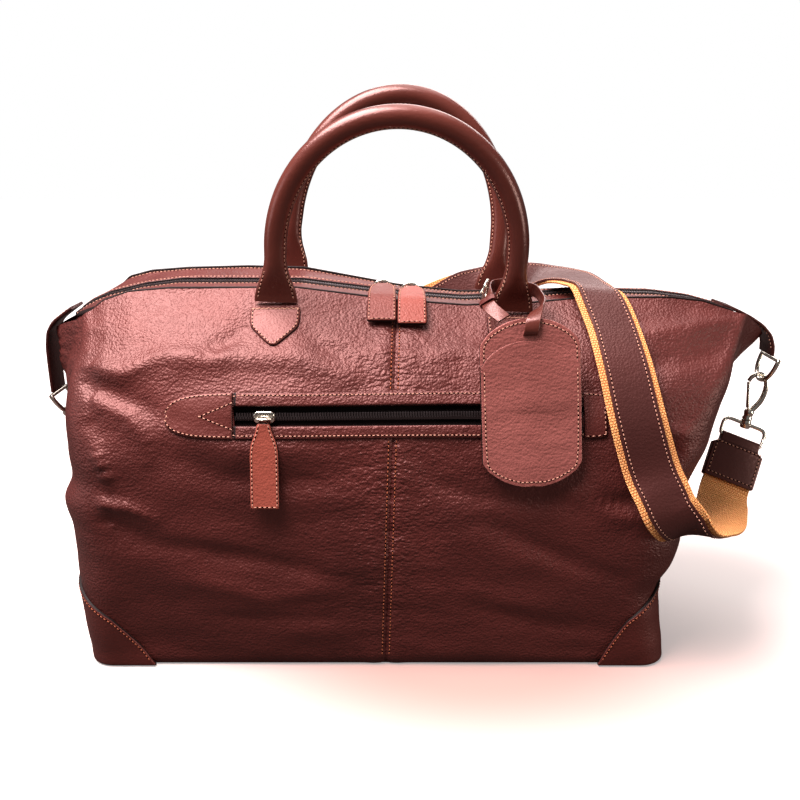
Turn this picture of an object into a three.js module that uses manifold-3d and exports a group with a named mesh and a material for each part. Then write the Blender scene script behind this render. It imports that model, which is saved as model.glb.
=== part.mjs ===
// A leather weekender bag: panelled body, top zip, front zip pocket, two rolled handles,
// a luggage tag on the front handle, and a shoulder strap clipped on and laid over the front.
// Millimetres, +Z up, -Y is the front, origin at the middle of the base's underside.
import * as THREE from 'three';
import { mergeVertices } from 'three/addons/utils/BufferGeometryUtils.js';
import Module from 'manifold-3d';

const wasm = await Module();
wasm.setup();

// Driving sizes of the body
const baseHalfDepth = 102;
const leather = 2.0;
const rimHeight = 281;
const seamLean = 12;
const seamFoot = 3;
const seamGap = 0.4;
const skinGap = 0.5;
const boardThickness = 2.5;
const liningThickness = 0.8;
const liningClear = 3.5;
const liningFoot = 0.05;
const liningTaperX = 0.97;
const liningTaperY = 0.95;
const baseClear = 0.9;
const boardClear = 2.5;

// Sizes of the closures
const chainWidth = 5;
const chainThickness = 2;
const tapeReach = 0.55;
const chainTop = -0.8;
const tapeThickness = 0.8;
const bandThickness = 1.8;
const bandInset = 2.05;
const sliderLength = 15;
const sliderWidth = 9;
const sliderHeight = 3;
const sliderPostHeight = 4;
const sliderPostWidth = 4;
const sliderPostSunk = 0.5;
const pullHingeDrop = 1.5;
const pullHingeForward = 3.5;
const pullWidth = 21;
const pullLength = 58;
const pullThickness = 2.4;
const pullNeckWidth = 9;
const tabWidth = 27;
const tabThickness = 2.4;

// Front pocket
const pocketLeft = -104;
const pocketRight = 145;
const pocketZipHeight = 199;
const pocketSlot = 13;
const weltWidth = 9;
const weltThickness = 1.4;
const pocketPouchDepth = 110;
const pouchThickness = 1.6;

// Handles
const handleLeftX = -78;
const handleRightX = 98;
const tubeRadius = 8;
const tubeWall = 1.6;
const coreClear = 0.6;
const chapeWidth = 32;
const chapeThickness = 4;
const neckHeight = 28;
const handleRise = 110;
const backHandleRise = 119;
const backHandleRightX = 92;
const patchWidth = 37;
const patchLength = 32;
const patchThickness = 1.8;
const hingeLift = 1.8;
const foldGap = 0.6;
const frontHandleTilt = 12;
const backHandleTilt = 1;

// Luggage tag
const tagWidth = 71;
const tagLength = 119;
const tagThickness = 1.8;
const tagFlapThickness = 1.2;
const tagFlapDrop = 16;
const tagFlapGap = 0.3;
const tagStrapWidth = 10;
const tagStrapThickness = 1.4;
const tagSlotWidth = 15;
const tagSlotHeight = 4;
const tagSlotDrop = 11;
const buckleWire = 1.1;
const buckleLength = 12;
const buckleStep = 28;
const prongWire = 0.7;
const keeperStep = 32;
const keeperLength = 5;
const keeperThickness = 1.2;

// Shoulder strap and its fittings
const strapWidth = 40;
const strapThickness = 2.2;
const strapLeatherWidth = 31;
const strapLeatherThickness = 1.6;
const strapLayerGap = 0.4;
const capWidth = 43;
const capLength = 34;
const capThickness = 1.6;
const capNeckWidth = 31;
const capNeckDrop = 5;
const capTail = 6;
const capSlack = 0.85;
const loopWire = 1.5;
const loopInside = 33;
const loopHeight = 13;
const hookWire = 2;
const strapSteps = 72;
const ringWire = 1.8;
const ringInside = 29;
const ringDrop = 20;
const runningGap = 0.35;

// Colours of the finishes
const finish = {
  hide: { color: 0x5b2f2c, roughness: 0.5, metalness: 0 },
  tan: { color: 0x6a3530, roughness: 0.48, metalness: 0 },
  dark: { color: 0x241413, roughness: 0.7, metalness: 0 },
  webbing: { color: 0xc08a4e, roughness: 0.9, metalness: 0 },
  nickel: { color: 0xc9c9c8, roughness: 0.25, metalness: 1 },
  cloth: { color: 0x4a3a34, roughness: 0.9, metalness: 0 },
  board: { color: 0x3a3330, roughness: 0.85, metalness: 0 },
  rope: { color: 0xb9a88c, roughness: 0.9, metalness: 0 },
};

const bag = new THREE.Group();

const v3 = (x, y, z) => new THREE.Vector3(x, y, z);

// Straight-line table lookup between hand-placed stations
function tableAt(table, key) {
  if (key <= table[0][0]) return table[0][1];
  for (let i = 1; i < table.length; i += 1) {
    const [k1, v1] = table[i];
    const [k0, v0] = table[i - 1];
    if (key <= k1) return v0 + (v1 - v0) * (key - k0) / (k1 - k0);
  }
  return table[table.length - 1][1];
}

// The same lookup with eased slopes, for outlines that curve
function curveAt(table, key) {
  const last = table.length - 1;
  if (key <= table[0][0]) return table[0][1];
  if (key >= table[last][0]) return table[last][1];
  let i = 1;
  while (key > table[i][0]) i += 1;
  const slope = (a, b) => (table[b][1] - table[a][1]) / (table[b][0] - table[a][0]);
  const before = i > 1 ? slope(i - 2, i) : slope(i - 1, i);
  const after = i < last ? slope(i - 1, i + 1) : slope(i - 1, i);
  const span = table[i][0] - table[i - 1][0];
  const s = (key - table[i - 1][0]) / span;
  const start = table[i - 1][1] * (2 * s ** 3 - 3 * s * s + 1);
  const end = table[i][1] * (3 * s * s - 2 * s ** 3);
  return start + end + span * (before * (s ** 3 - 2 * s * s + s) + after * (s ** 3 - s * s));
}

function mix(a, b, s) {
  return a + (b - a) * s;
}

function spread(count, from = 0, to = 1) {
  return Array.from({ length: count + 1 }, (_, i) => mix(from, to, i / count));
}

// Meshes from vertices and faces, with the faces pointing out
function closedGeometry(points, faces) {
  let volume = 0;
  for (const [a, b, c] of faces) {
    volume += points[a].dot(points[b].clone().cross(points[c]));
  }
  const index = [];
  for (const [a, b, c] of faces) {
    if (volume > 0) index.push(a, b, c);
    else index.push(a, c, b);
  }
  const geometry = new THREE.BufferGeometry();
  const flat = points.flatMap((p) => [p.x, p.y, p.z]);
  geometry.setAttribute('position', new THREE.Float32BufferAttribute(flat, 3));
  geometry.setIndex(index);
  return geometry;
}

// A skin between an outer and an inner grid of points; wrap joins the last column to the first
function gridGeometry(outer, inner, { wrap = false, floor = false } = {}) {
  const rows = outer.length;
  const columns = outer[0].length;
  const points = [...outer.flat(), ...inner.flat()];
  const shift = rows * columns;
  const at = (side, j, i) => side * shift + j * columns + (i % columns);
  const faces = [];
  const lastColumn = wrap ? columns : columns - 1;
  for (let j = 0; j < rows - 1; j += 1) {
    for (let i = 0; i < lastColumn; i += 1) {
      faces.push([at(0, j, i), at(0, j, i + 1), at(0, j + 1, i + 1)]);
      faces.push([at(0, j, i), at(0, j + 1, i + 1), at(0, j + 1, i)]);
      faces.push([at(1, j, i), at(1, j + 1, i + 1), at(1, j, i + 1)]);
      faces.push([at(1, j, i), at(1, j + 1, i), at(1, j + 1, i + 1)]);
    }
  }
  for (let i = 0; i < lastColumn; i += 1) {
    const top = rows - 1;
    faces.push([at(0, top, i), at(0, top, i + 1), at(1, top, i + 1)]);
    faces.push([at(0, top, i), at(1, top, i + 1), at(1, top, i)]);
    if (floor) continue;
    faces.push([at(0, 0, i), at(1, 0, i + 1), at(0, 0, i + 1)]);
    faces.push([at(0, 0, i), at(1, 0, i), at(1, 0, i + 1)]);
  }
  if (floor) {
    for (const side of [0, 1]) {
      const middle = v3(0, 0, 0);
      const ring = side === 0 ? outer[0] : inner[0];
      for (const p of ring) middle.add(p);
      points.push(middle.divideScalar(ring.length));
      const hub = points.length - 1;
      for (let i = 0; i < columns; i += 1) {
        if (side === 0) faces.push([hub, at(0, 0, i + 1), at(0, 0, i)]);
        else faces.push([hub, at(1, 0, i), at(1, 0, i + 1)]);
      }
    }
  } else if (!wrap) {
    for (let j = 0; j < rows - 1; j += 1) {
      const far = columns - 1;
      faces.push([at(0, j, 0), at(0, j + 1, 0), at(1, j + 1, 0)]);
      faces.push([at(0, j, 0), at(1, j + 1, 0), at(1, j, 0)]);
      faces.push([at(0, j, far), at(1, j + 1, far), at(0, j + 1, far)]);
      faces.push([at(0, j, far), at(1, j, far), at(1, j + 1, far)]);
    }
  }
  return closedGeometry(points, faces);
}

// A section carried along frames; each frame has a place p and the section's two directions w and n
function sweepGeometry(frames, sectionAt, { closed = false } = {}) {
  const rings = frames.map((frame, k) => sectionAt(k).map(([a, b]) => (
    frame.p.clone().addScaledVector(frame.w, a).addScaledVector(frame.n, b)
  )));
  const sides = rings[0].length;
  const points = rings.flat();
  const faces = [];
  const last = closed ? rings.length : rings.length - 1;
  for (let k = 0; k < last; k += 1) {
    const next = (k + 1) % rings.length;
    for (let i = 0; i < sides; i += 1) {
      const j = (i + 1) % sides;
      const [a, b] = [k * sides + i, k * sides + j];
      const [c, d] = [next * sides + j, next * sides + i];
      if (points[a].distanceTo(points[c]) <= points[b].distanceTo(points[d])) {
        faces.push([a, b, c], [a, c, d]);
      } else {
        faces.push([a, b, d], [b, c, d]);
      }
    }
  }
  if (!closed) {
    const flat = (k) => sectionAt(k).map(([a, b]) => new THREE.Vector2(a, b));
    const ends = [[0, true], [rings.length - 1, false]];
    for (const [k, turn] of ends) {
      for (const [a, b, c] of THREE.ShapeUtils.triangulateShape(flat(k), [])) {
        const face = [k * sides + a, k * sides + b, k * sides + c];
        const section = flat(k);
        const across = (section[b].x - section[a].x) * (section[c].y - section[a].y)
          - (section[b].y - section[a].y) * (section[c].x - section[a].x);
        const forward = THREE.ShapeUtils.area(section) > 0 ? across > 0 : across < 0;
        faces.push(forward === turn ? [face[0], face[2], face[1]] : face);
      }
    }
  }
  return closedGeometry(points, faces);
}

function roundSection(halfWidth, halfThick, sides) {
  return spread(sides).slice(0, sides).map((s) => {
    const angle = 2 * Math.PI * (s + 0.5 / sides);
    return [halfWidth * Math.cos(angle), halfThick * Math.sin(angle)];
  });
}

function boxSection(halfWidth, low, high) {
  return [[-halfWidth, low], [halfWidth, low], [halfWidth, high], [-halfWidth, high]];
}

// Frames along points that each carry a width direction
function framesAlong(points, widths, { closed = false } = {}) {
  const count = points.length;
  return points.map((p, k) => {
    const before = points[closed ? (k + count - 1) % count : Math.max(0, k - 1)];
    const after = points[closed ? (k + 1) % count : Math.min(count - 1, k + 1)];
    const along = after.clone().sub(before).normalize();
    const w = widths[k].clone().addScaledVector(along, -widths[k].dot(along)).normalize();
    return { p, w, n: along.clone().cross(w), along };
  });
}

// A flat strap laid through stations of [x, y, z, width direction x, y, z]
function strapFrames(stations, steps) {
  const curveThrough = (points) => new THREE.CatmullRomCurve3(points, false, 'centripetal');
  const route = curveThrough(stations.map((s) => v3(s[0], s[1], s[2])));
  const turn = curveThrough(stations.map((s) => v3(s[3], s[4], s[5])));
  const along = spread(steps);
  return framesAlong(along.map((s) => route.getPoint(s)), along.map((s) => turn.getPoint(s)));
}

// Solids for cutting and joining
function solidOf(geometry) {
  const bare = geometry.clone();
  bare.deleteAttribute('normal');
  bare.deleteAttribute('uv');
  const merged = mergeVertices(bare, 1e-5);
  return new wasm.Manifold(new wasm.Mesh({
    numProp: 3,
    vertProperties: new Float32Array(merged.attributes.position.array),
    triVerts: new Uint32Array(merged.index.array),
  }));
}

function geometryOf(solid) {
  const mesh = solid.getMesh();
  const geometry = new THREE.BufferGeometry();
  geometry.setAttribute('position', new THREE.Float32BufferAttribute(mesh.vertProperties, 3));
  geometry.setIndex(new THREE.Uint32BufferAttribute(mesh.triVerts, 1));
  return geometry;
}

function cut(geometry, ...tools) {
  let solid = solidOf(geometry);
  for (const tool of tools) solid = solid.subtract(solidOf(tool));
  return geometryOf(solid);
}

function join(geometry, ...others) {
  let solid = solidOf(geometry);
  for (const other of others) solid = solid.add(solidOf(other));
  return geometryOf(solid);
}

function add(name, geometry, look) {
  const shape = geometry.index ? geometry.toNonIndexed() : geometry;
  shape.computeVertexNormals();
  const mesh = new THREE.Mesh(shape, new THREE.MeshStandardMaterial(look));
  mesh.name = name;
  bag.add(mesh);
  return mesh;
}

function boxAt(from, to) {
  const geometry = new THREE.BoxGeometry(to.x - from.x, to.y - from.y, to.z - from.z);
  geometry.translate((from.x + to.x) / 2, (from.y + to.y) / 2, (from.z + to.z) / 2);
  return geometry;
}

// Outline of the filled bag, by share of height: how far it reaches to each side, front and back
const leftReach = [[0, 224], [0.08, 227.5], [0.29, 235], [0.42, 236], [0.5, 239], [0.57, 231.5],
  [0.65, 232.5], [0.76, 233], [0.87, 228], [0.93, 225], [1, 227.5]];
const rightReach = [[0, 218], [0.16, 214], [0.24, 215], [0.3, 226], [0.36, 230], [0.46, 229], [0.54, 231],
  [0.64, 241], [0.74, 247], [0.83, 256], [0.91, 266], [1, 279]];
const overBase = (stations) => stations.map(([share, more]) => [share, baseHalfDepth + more]);
const frontDepth = overBase([[0, 0], [0.15, 4], [0.35, 7], [0.55, 5], [0.7, -2], [0.79, -13],
  [0.87, -28], [0.95, -51], [1, -66]]);
const backDepth = overBase([[0, 0], [0.15, 4], [0.35, 7], [0.55, 5], [0.7, -2], [0.79, -14],
  [0.87, -31], [0.95, -58], [1, -74]]);
const cornerRound = [[0, 18], [0.15, 28], [0.32, 42], [0.5, 40], [0.7, 28], [0.85, 18], [1, 9]];
const leftProw = [[0, 0], [0.2, -5], [0.5, -12], [0.65, -4], [0.78, 14], [0.88, 26], [1, 33]];
const rightProw = [[0, 0], [0.2, -5], [0.5, -12], [0.65, -6], [0.78, 8], [0.88, 17], [1, 26]];

// Heights of the top edges, by place along the bag
const leftEdge = -227.5;
const rightEdge = 279;
const leftTip = { x: leftEdge - 33, z: 245 };
const rightTip = { x: rightEdge + 26, z: 239 };
const frontRim = [[-227.5, 258], [-209, 272], [-190, 278.5], [-160, rimHeight], [-64, rimHeight],
  [12, 271.5], [64, 267.5], [115, 269.5], [150, 273], [218, 274], [243, 271.5], [279, 260]];
const backRim = [[-227.5, 262], [-209, 280], [-190, 285], [-160, 287.5], [-110, 289], [-64, 288], [12, 274],
  [64, 268.5], [115, 269], [150, 270.5], [218, 269.5], [243, 265], [279, 256]];
const ridge = [[-260, leftTip.z], [-247, 255], [-235, 263.5], [-219, 271], [-190, 278], [-160, rimHeight + 1],
  [-64, rimHeight + 1], [12, 272.5], [64, 268.5], [115, 270.5], [150, 274], [216, 272.5], [245, 268.5],
  [270, 261.5], [290, 251.5], [305, rightTip.z]];
const ears = { frontLeft: 258, frontRight: 260, backLeft: 262, backRight: 256 };
const earSpread = 9;
const flatShare = 0.84;
const bottomShare = 0.0005;
const nearSeam = 0.9999;

function seamAt(t) {
  return mix(seamFoot, seamLean, t);
}

// A point of the outer skin. Side 0 is the front, 1 the right end, 2 the back, 3 the left end;
// u runs along each side, seen from above anticlockwise from the front left corner.
function skinPoint(around, t) {
  const side = Math.floor(around) % 4;
  const u = around - Math.floor(around);
  const left = curveAt(leftReach, t);
  const right = curveAt(rightReach, t);
  const round = curveAt(cornerRound, t);
  if (side % 2 === 0) {
    const goesRight = (u > 0.5) === (side === 0);
    const w = Math.abs(2 * u - 1);
    const reach = goesRight ? right : left;
    const seam = seamAt(t);
    const length = goesRight ? reach - seam : reach + seam;
    const table = side === 0 ? frontDepth : backDepth;
    const depth = curveAt(table, t) + earSpread * w ** 3 * t ** 6;
    const onFlat = Math.min(1, w / flatShare);
    const onCorner = Math.max(0, (w - flatShare) / (1 - flatShare));
    const angle = onCorner * Math.PI / 2;
    const run = onFlat * (length - round) + round * Math.sin(angle);
    const back = round * (1 - Math.cos(angle));
    const x = seam + (goesRight ? run : -run);
    const edge = goesRight ? rightEdge : leftEdge;
    const flatEnd = goesRight ? edge - earSpread : edge + earSpread;
    const topAt = mix(mix(seamLean, flatEnd, onFlat), edge, onCorner);
    const rim = tableAt(side === 0 ? frontRim : backRim, topAt);
    const y = side === 0 ? -(depth - back) : depth - back;
    return v3(x, y, rim * t);
  }
  const goesRight = side === 1;
  const reach = goesRight ? right : left;
  const prow = curveAt(goesRight ? rightProw : leftProw, t);
  const yFront = -(curveAt(frontDepth, t) + earSpread * t ** 6 - round);
  const yBack = curveAt(backDepth, t) + earSpread * t ** 6 - round;
  const v = goesRight ? u : 1 - u;
  const w = Math.abs(2 * v - 1);
  const sharp = mix(2, 1.25, t ** 4);
  const x = reach + prow * (1 - w ** sharp);
  const frontTop = goesRight ? ears.frontRight : ears.frontLeft;
  const backTop = goesRight ? ears.backRight : ears.backLeft;
  const tip = goesRight ? rightTip.z : leftTip.z;
  const top = mix(tip, v < 0.5 ? frontTop : backTop, w);
  return v3(goesRight ? x : -x, mix(yFront, yBack, v), top * t);
}

function skinNormal(around, t) {
  const step = 0.012;
  const wrapped = (a) => (a + 4) % 4;
  const alongU = skinPoint(wrapped(around + step), t).sub(skinPoint(wrapped(around - step), t));
  const low = Math.max(0, t - step);
  const high = Math.min(1, t + step);
  const alongT = skinPoint(around, high).sub(skinPoint(around, low));
  return alongU.cross(alongT).normalize();
}

function skinAt(around, t, lift) {
  const wrapped = (around + 4) % 4;
  const normal = skinNormal(wrapped, t);
  if (t < bottomShare) normal.setZ(0).normalize();
  return skinPoint(wrapped, t).addScaledVector(normal, lift);
}

// Finds where on the front or back skin a given x and height lie
function skinPlace(side, x, z) {
  let t = z / rimHeight;
  let u = 0.5;
  for (let step = 0; step < 12; step += 1) {
    const seam = seamAt(t);
    const goesRight = x > seam;
    const round = curveAt(cornerRound, t);
    const reach = curveAt(goesRight ? rightReach : leftReach, t);
    const length = (goesRight ? reach - seam : reach + seam) - round;
    const w = flatShare * Math.min(1, Math.abs(x - seam) / length);
    u = (goesRight === (side === 0)) ? 0.5 + w / 2 : 0.5 - w / 2;
    const rim = skinPoint(side + u, 1).z;
    t = Math.min(1, z / rim);
  }
  return { around: side + u, t };
}

function skinAtPlace(side, x, z, lift) {
  const { around, t } = skinPlace(side, x, z);
  return skinAt(around, t, lift);
}

// Panels: columns of the shared skin, each pulled back from its seams by half the seam gap
const shellRows = [0, 0.08, 0.16, 0.24, 0.3, 0.36, 0.46, 0.58, 0.68, 0.76, 0.83, 0.89, 0.945, 1];
const leftColumns = [0, 0.027, 0.053, 0.08, 0.1, 0.132, 0.187, 0.274, 0.3615, 0.43, 0.5];
const rightColumns = [0.5, 0.585, 0.668, 0.725, 0.78, 0.835, 0.876, 0.92, 0.947, 0.973, 1];
const mirrored = (columns) => columns.map((u) => 1 - u).reverse();
const gussetColumns = [0, 0.12, 0.25, 0.38, 0.5, 0.62, 0.75, 0.88, 1];

function pulledBack(columns, t, side) {
  const place = (u) => skinPoint(side + Math.min(u, nearSeam), t);
  const first = place(columns[0]).distanceTo(place(columns[1]));
  const last = place(columns[columns.length - 1]).distanceTo(place(columns[columns.length - 2]));
  const result = [...columns];
  const end = result.length - 1;
  result[0] = mix(columns[0], columns[1], seamGap / 2 / first);
  result[end] = mix(columns[end], columns[end - 1], seamGap / 2 / last);
  return result;
}

function panelGeometry(side, columns, rows, low, high) {
  const grid = (lift) => rows.map((t) => pulledBack(columns, t, side).map((u) => skinAt(side + u, t, lift)));
  return gridGeometry(grid(high), grid(low));
}

const slotTool = boxAt(
  v3(pocketLeft, -baseHalfDepth - 30, pocketZipHeight - pocketSlot / 2),
  v3(pocketRight, -60, pocketZipHeight + pocketSlot / 2),
);

const liftedRows = [bottomShare / 5, ...shellRows.slice(1)];

function addBody() {
  const left = panelGeometry(0, leftColumns, liftedRows, -leather, 0);
  const right = panelGeometry(0, rightColumns, liftedRows, -leather, 0);
  add('front_panel_left', cut(left, slotTool), finish.hide);
  add('front_panel_right', cut(right, slotTool), finish.hide);
  add('back_panel_right', panelGeometry(2, mirrored(rightColumns), liftedRows, -leather, 0), finish.hide);
  add('back_panel_left', panelGeometry(2, mirrored(leftColumns), liftedRows, -leather, 0), finish.hide);
  add('gusset_right', panelGeometry(1, gussetColumns, liftedRows, -leather, 0), finish.hide);
  add('gusset_left', panelGeometry(3, gussetColumns, liftedRows, -leather, 0), finish.hide);
}

// Every column of the skin once around, for the base, board and lining
function loopColumns(step) {
  const front = [...leftColumns, ...rightColumns.slice(1)];
  const sides = [front, gussetColumns, mirrored(front), gussetColumns];
  return sides.flatMap((columns, side) => (
    columns.slice(0, -1).filter((u, i) => i % step === 0).map((u) => side + u)
  ));
}

function plateGeometry(inset, low, high) {
  const loop = loopColumns(1).map((around) => skinAt(around, bottomShare / 5, -inset));
  const level = (z) => loop.map((p) => v3(p.x, p.y, z));
  const points = [...level(low), ...level(high)];
  const count = loop.length;
  const faces = [];
  for (let i = 0; i < count; i += 1) {
    const j = (i + 1) % count;
    faces.push([i, j, count + j]);
    faces.push([i, count + j, count + i]);
  }
  points.push(v3(0, 0, low));
  points.push(v3(0, 0, high));
  for (let i = 0; i < count; i += 1) {
    const j = (i + 1) % count;
    faces.push([2 * count, j, i]);
    faces.push([2 * count + 1, count + i, count + j]);
  }
  return closedGeometry(points, faces);
}

function addBase() {
  const boardLow = leather + runningGap;
  const boardHigh = boardLow + boardThickness;
  add('base_panel', plateGeometry(leather + baseClear, 0, leather), finish.hide);
  add('base_board', plateGeometry(leather + boardClear, boardLow, boardHigh), finish.board);
  const floorOut = boardHigh + runningGap;
  const rows = [liningFoot, ...shellRows.slice(2, -2)];
  const columns = loopColumns(2);
  const out = leather + liningClear;
  const grid = (lift) => rows.map((t) => columns.map((around) => skinAt(around, t, -lift)));
  const outer = grid(out);
  const inner = grid(out + liningThickness);
  const floorRing = (ring, z) => ring.map((p) => v3(p.x * liningTaperX, p.y * liningTaperY, z));
  outer.unshift(floorRing(outer[0], floorOut));
  inner.unshift(floorRing(inner[0], floorOut + liningThickness));
  add('lining', gridGeometry(outer, inner, { wrap: true, floor: true }), finish.cloth);
}

// Corner patches: how far each reaches up the corner and along each side of it
const patchHeight = 66;
const patchReach = 66;
const patchLift = 1.1;
const patchSkin = 1.4;
const patchTip = 2;
const patchBulge = 1.25;
const patchFlare = 1.15;
const walkHeight = 0.05;
const walkStep = 0.008;
const walkSteps = 60;

// Places along the skin from a corner, by the length walked
function walkFrom(corner, direction) {
  const places = [];
  let from = skinPoint(corner, walkHeight);
  let length = 0;
  for (let k = 1; k <= walkSteps; k += 1) {
    const around = corner + direction * k * walkStep;
    const p = skinPoint((around + 4) % 4, walkHeight);
    length += p.distanceTo(from);
    from = p;
    places.push([length, around]);
  }
  return places;
}

function cornerPatch(name, corner) {
  const shares = [1, 0.8, 0.62, 0.45, 0.3, 0.15];
  const behind = walkFrom(corner, -1);
  const ahead = walkFrom(corner, 1);
  const along = [
    ...shares.map((share) => [share, tableAt(behind, share * patchReach)]),
    [0, corner],
    ...[...shares].reverse().map((share) => [share, tableAt(ahead, share * patchReach)]),
  ];
  const topOf = (share) => Math.max(patchTip, patchHeight * (1 - share ** patchBulge) ** (1 / patchFlare));
  const grid = (lift) => spread(4).map((row) => along.map(([share, around]) => {
    const wrapped = (around + 4) % 4;
    const full = skinPoint(wrapped, 1).z;
    return skinAt(wrapped, Math.max(bottomShare / 5, row * topOf(share) / full), lift);
  }));
  add(name, gridGeometry(grid(patchLift + patchSkin), grid(patchLift)), finish.tan);
}

// Top closure: a band from each rim to the zip, the tape under it and the chain between
const bandColumns = [-245, -235, -219, -205, -190, -160, -110, -64, -30, 12, 40, 64, 115, 150, 185, 216,
  245, 270, 285];
const bandEnds = [-215, 266];
const zipHalf = chainWidth / 2 + 3.4;
const bandDrop = 0.4;

function bandPoint(side, x, across, lift) {
  const sign = side === 0 ? -1 : 1;
  const first = bandColumns[0];
  const share = (x - first) / (bandColumns[bandColumns.length - 1] - first);
  const rimX = mix(bandEnds[0], bandEnds[1], share);
  const rim = tableAt(side === 0 ? frontRim : backRim, rimX);
  const edge = skinPoint(skinPlace(side, rimX, rim).around, 1);
  const y = mix(Math.abs(edge.y) - bandInset, zipHalf, across);
  const z = mix(edge.z - bandDrop, tableAt(ridge, x), across);
  return v3(mix(rimX, x, across), sign * y, z + lift);
}

function addTopClosure() {
  const across = [0, 0.5, 1];
  for (const [name, side] of [['zip_band_front', 0], ['zip_band_back', 2]]) {
    const grid = (lift) => across.map((c) => bandColumns.map((x) => bandPoint(side, x, c, lift)));
    add(name, gridGeometry(grid(0), grid(-bandThickness)), finish.hide);
  }
  const tapeTop = -bandThickness - bandDrop;
  const tapeLow = tapeTop - tapeThickness;
  const inner = chainWidth / 2 + runningGap;
  for (const [name, side] of [['zip_tape_front', 0], ['zip_tape_back', 2]]) {
    const sign = side === 0 ? -1 : 1;
    const grid = (lift) => [
      bandColumns.map((x) => bandPoint(side, x, tapeReach, lift)),
      bandColumns.map((x) => bandPoint(side, x, 1, lift)),
      bandColumns.map((x) => v3(x, sign * inner, tableAt(ridge, x) + lift)),
    ];
    add(name, gridGeometry(grid(tapeTop), grid(tapeLow)), finish.dark);
  }
  const chain = (lift) => [-1, 1].map((sign) => (
    bandColumns.map((x) => v3(x, sign * chainWidth / 2, tableAt(ridge, x) + lift))
  ));
  add('zip_chain', gridGeometry(chain(chainTop), chain(chainTop - chainThickness)), finish.dark);
}

// End tabs: a leather strip from the zip's end down over the prow, folded round the ring's bar
function endTab(name, stations, tip, ringName, ringAt) {
  const frames = framesAlong(
    stations.map(([x, z]) => v3(tip.x + x, 0, tip.z + z)),
    stations.map(() => v3(0, 1, 0)),
  );
  add(name, sweepGeometry(frames, () => boxSection(tabWidth / 2, 0, tabThickness)), finish.hide);
  addRing(ringName, ringAt);
}

function ringOutline(drop) {
  const half = ringInside / 2 + ringWire;
  const points = [];
  for (const s of spread(3)) points.push([mix(-half, half, s), 0]);
  for (const s of spread(8).slice(1, -1)) {
    const angle = Math.PI * s;
    points.push([half * Math.cos(angle), -drop * Math.sin(angle) ** 0.8]);
  }
  return points;
}

function addRing(name, at) {
  const out = new THREE.Vector3(at.lean, 0, -1).normalize();
  const points = ringOutline(ringDrop).map(([y, d]) => (
    v3(at.x, y, at.z).addScaledVector(out, -d)
  ));
  const side = v3(0, 1, 0).cross(out).normalize();
  const frames = framesAlong(points, points.map(() => side), { closed: true });
  const ring = sweepGeometry(frames, () => roundSection(ringWire, ringWire, 8), { closed: true });
  add(name, ring, finish.nickel);
}

const leftRing = { x: leftTip.x - 5.9, z: leftTip.z - 54.5, lean: 0.6 };
const rightRing = { x: rightTip.x + 10.5, z: rightTip.z - 19.5, lean: -0.35 };

function addEnds() {
  const leftPath = [[-4.7, -52], [-5.1, -33], [-5.1, -15], [-3.3, -3], [1.5, 4.5], [12.5, 12.5], [17, 15.6]];
  endTab('end_tab_left', leftPath, leftTip, 'd_ring_left', leftRing);
  const rightPath = [[8.2, -16], [8, -8], [5, 1], [-2.7, 9.4], [-13.6, 16.4], [-24.5, 21.8], [-37, 26]];
  endTab('end_tab_right', rightPath, rightTip, 'd_ring_right', rightRing);
}

// Sliders ride on the chain; each pull is hinged on its slider's ring
function sliderGeometry() {
  const [long, wide, post] = [sliderLength / 2, sliderWidth / 2, sliderPostWidth / 2];
  return join(
    boxAt(v3(-long, -wide, 0), v3(long, wide, sliderHeight)),
    boxAt(v3(-post, -post, sliderHeight - sliderPostSunk), v3(post, post, sliderHeight + sliderPostHeight)),
  );
}

function pullGeometry(length) {
  const half = pullWidth / 2;
  const neck = pullNeckWidth / 2;
  const corner = 3;
  const [neckEnd, shoulder, waist] = [0.16, 0.22, 0.34].map((share) => -length * share);
  const shape = new THREE.Shape();
  shape.moveTo(-neck, 0);
  shape.lineTo(neck, 0);
  shape.lineTo(neck + 0.5, neckEnd);
  shape.quadraticCurveTo(half - 1, shoulder, half - 1.5, waist);
  shape.lineTo(half, -length + corner);
  shape.quadraticCurveTo(half, -length, half - corner, -length);
  shape.lineTo(-half + corner, -length);
  shape.quadraticCurveTo(-half, -length, -half, -length + corner);
  shape.lineTo(-half + 1.5, waist);
  shape.quadraticCurveTo(-half + 1, shoulder, -neck - 0.5, neckEnd);
  shape.closePath();
  const geometry = new THREE.ExtrudeGeometry(shape, {
    depth: pullThickness, bevelEnabled: false, curveSegments: 3,
  });
  geometry.translate(0, 0, -pullThickness / 2);
  return geometry;
}

// Turns a flat shape drawn in x and y so that y follows a hanging direction and its back faces along n
function place(geometry, at, right, down) {
  const x = right.clone().normalize();
  const y = down.clone().multiplyScalar(-1).normalize();
  const z = x.clone().cross(y);
  const matrix = new THREE.Matrix4().makeBasis(x, y, z).setPosition(at);
  geometry.applyMatrix4(matrix);
  return geometry;
}

const mainSliders = [
  { name: 'left', x: 0, pullX: 0.7, from: -64, to: 12 },
  { name: 'right', x: 22, pullX: 23.3, from: 12, to: 64 },
];

function addMainSliders() {
  for (const slider of mainSliders) {
    const rise = (tableAt(ridge, slider.to) - tableAt(ridge, slider.from)) / (slider.to - slider.from);
    const angle = Math.atan(rise);
    const z = tableAt(ridge, slider.x) + chainTop + runningGap;
    const body = sliderGeometry();
    body.rotateY(-angle);
    body.translate(slider.x, 0, z);
    add(`main_slider_${slider.name}`, body, finish.nickel);
    const hinge = v3(slider.pullX, -pullHingeForward, z + sliderHeight + sliderPostHeight - pullHingeDrop);
    const pull = pullGeometry(pullLength);
    place(pull, hinge, v3(1, 0, 0), v3(0, -1, -0.07));
    add(`main_pull_${slider.name}`, pull, finish.tan);
  }
}

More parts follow.
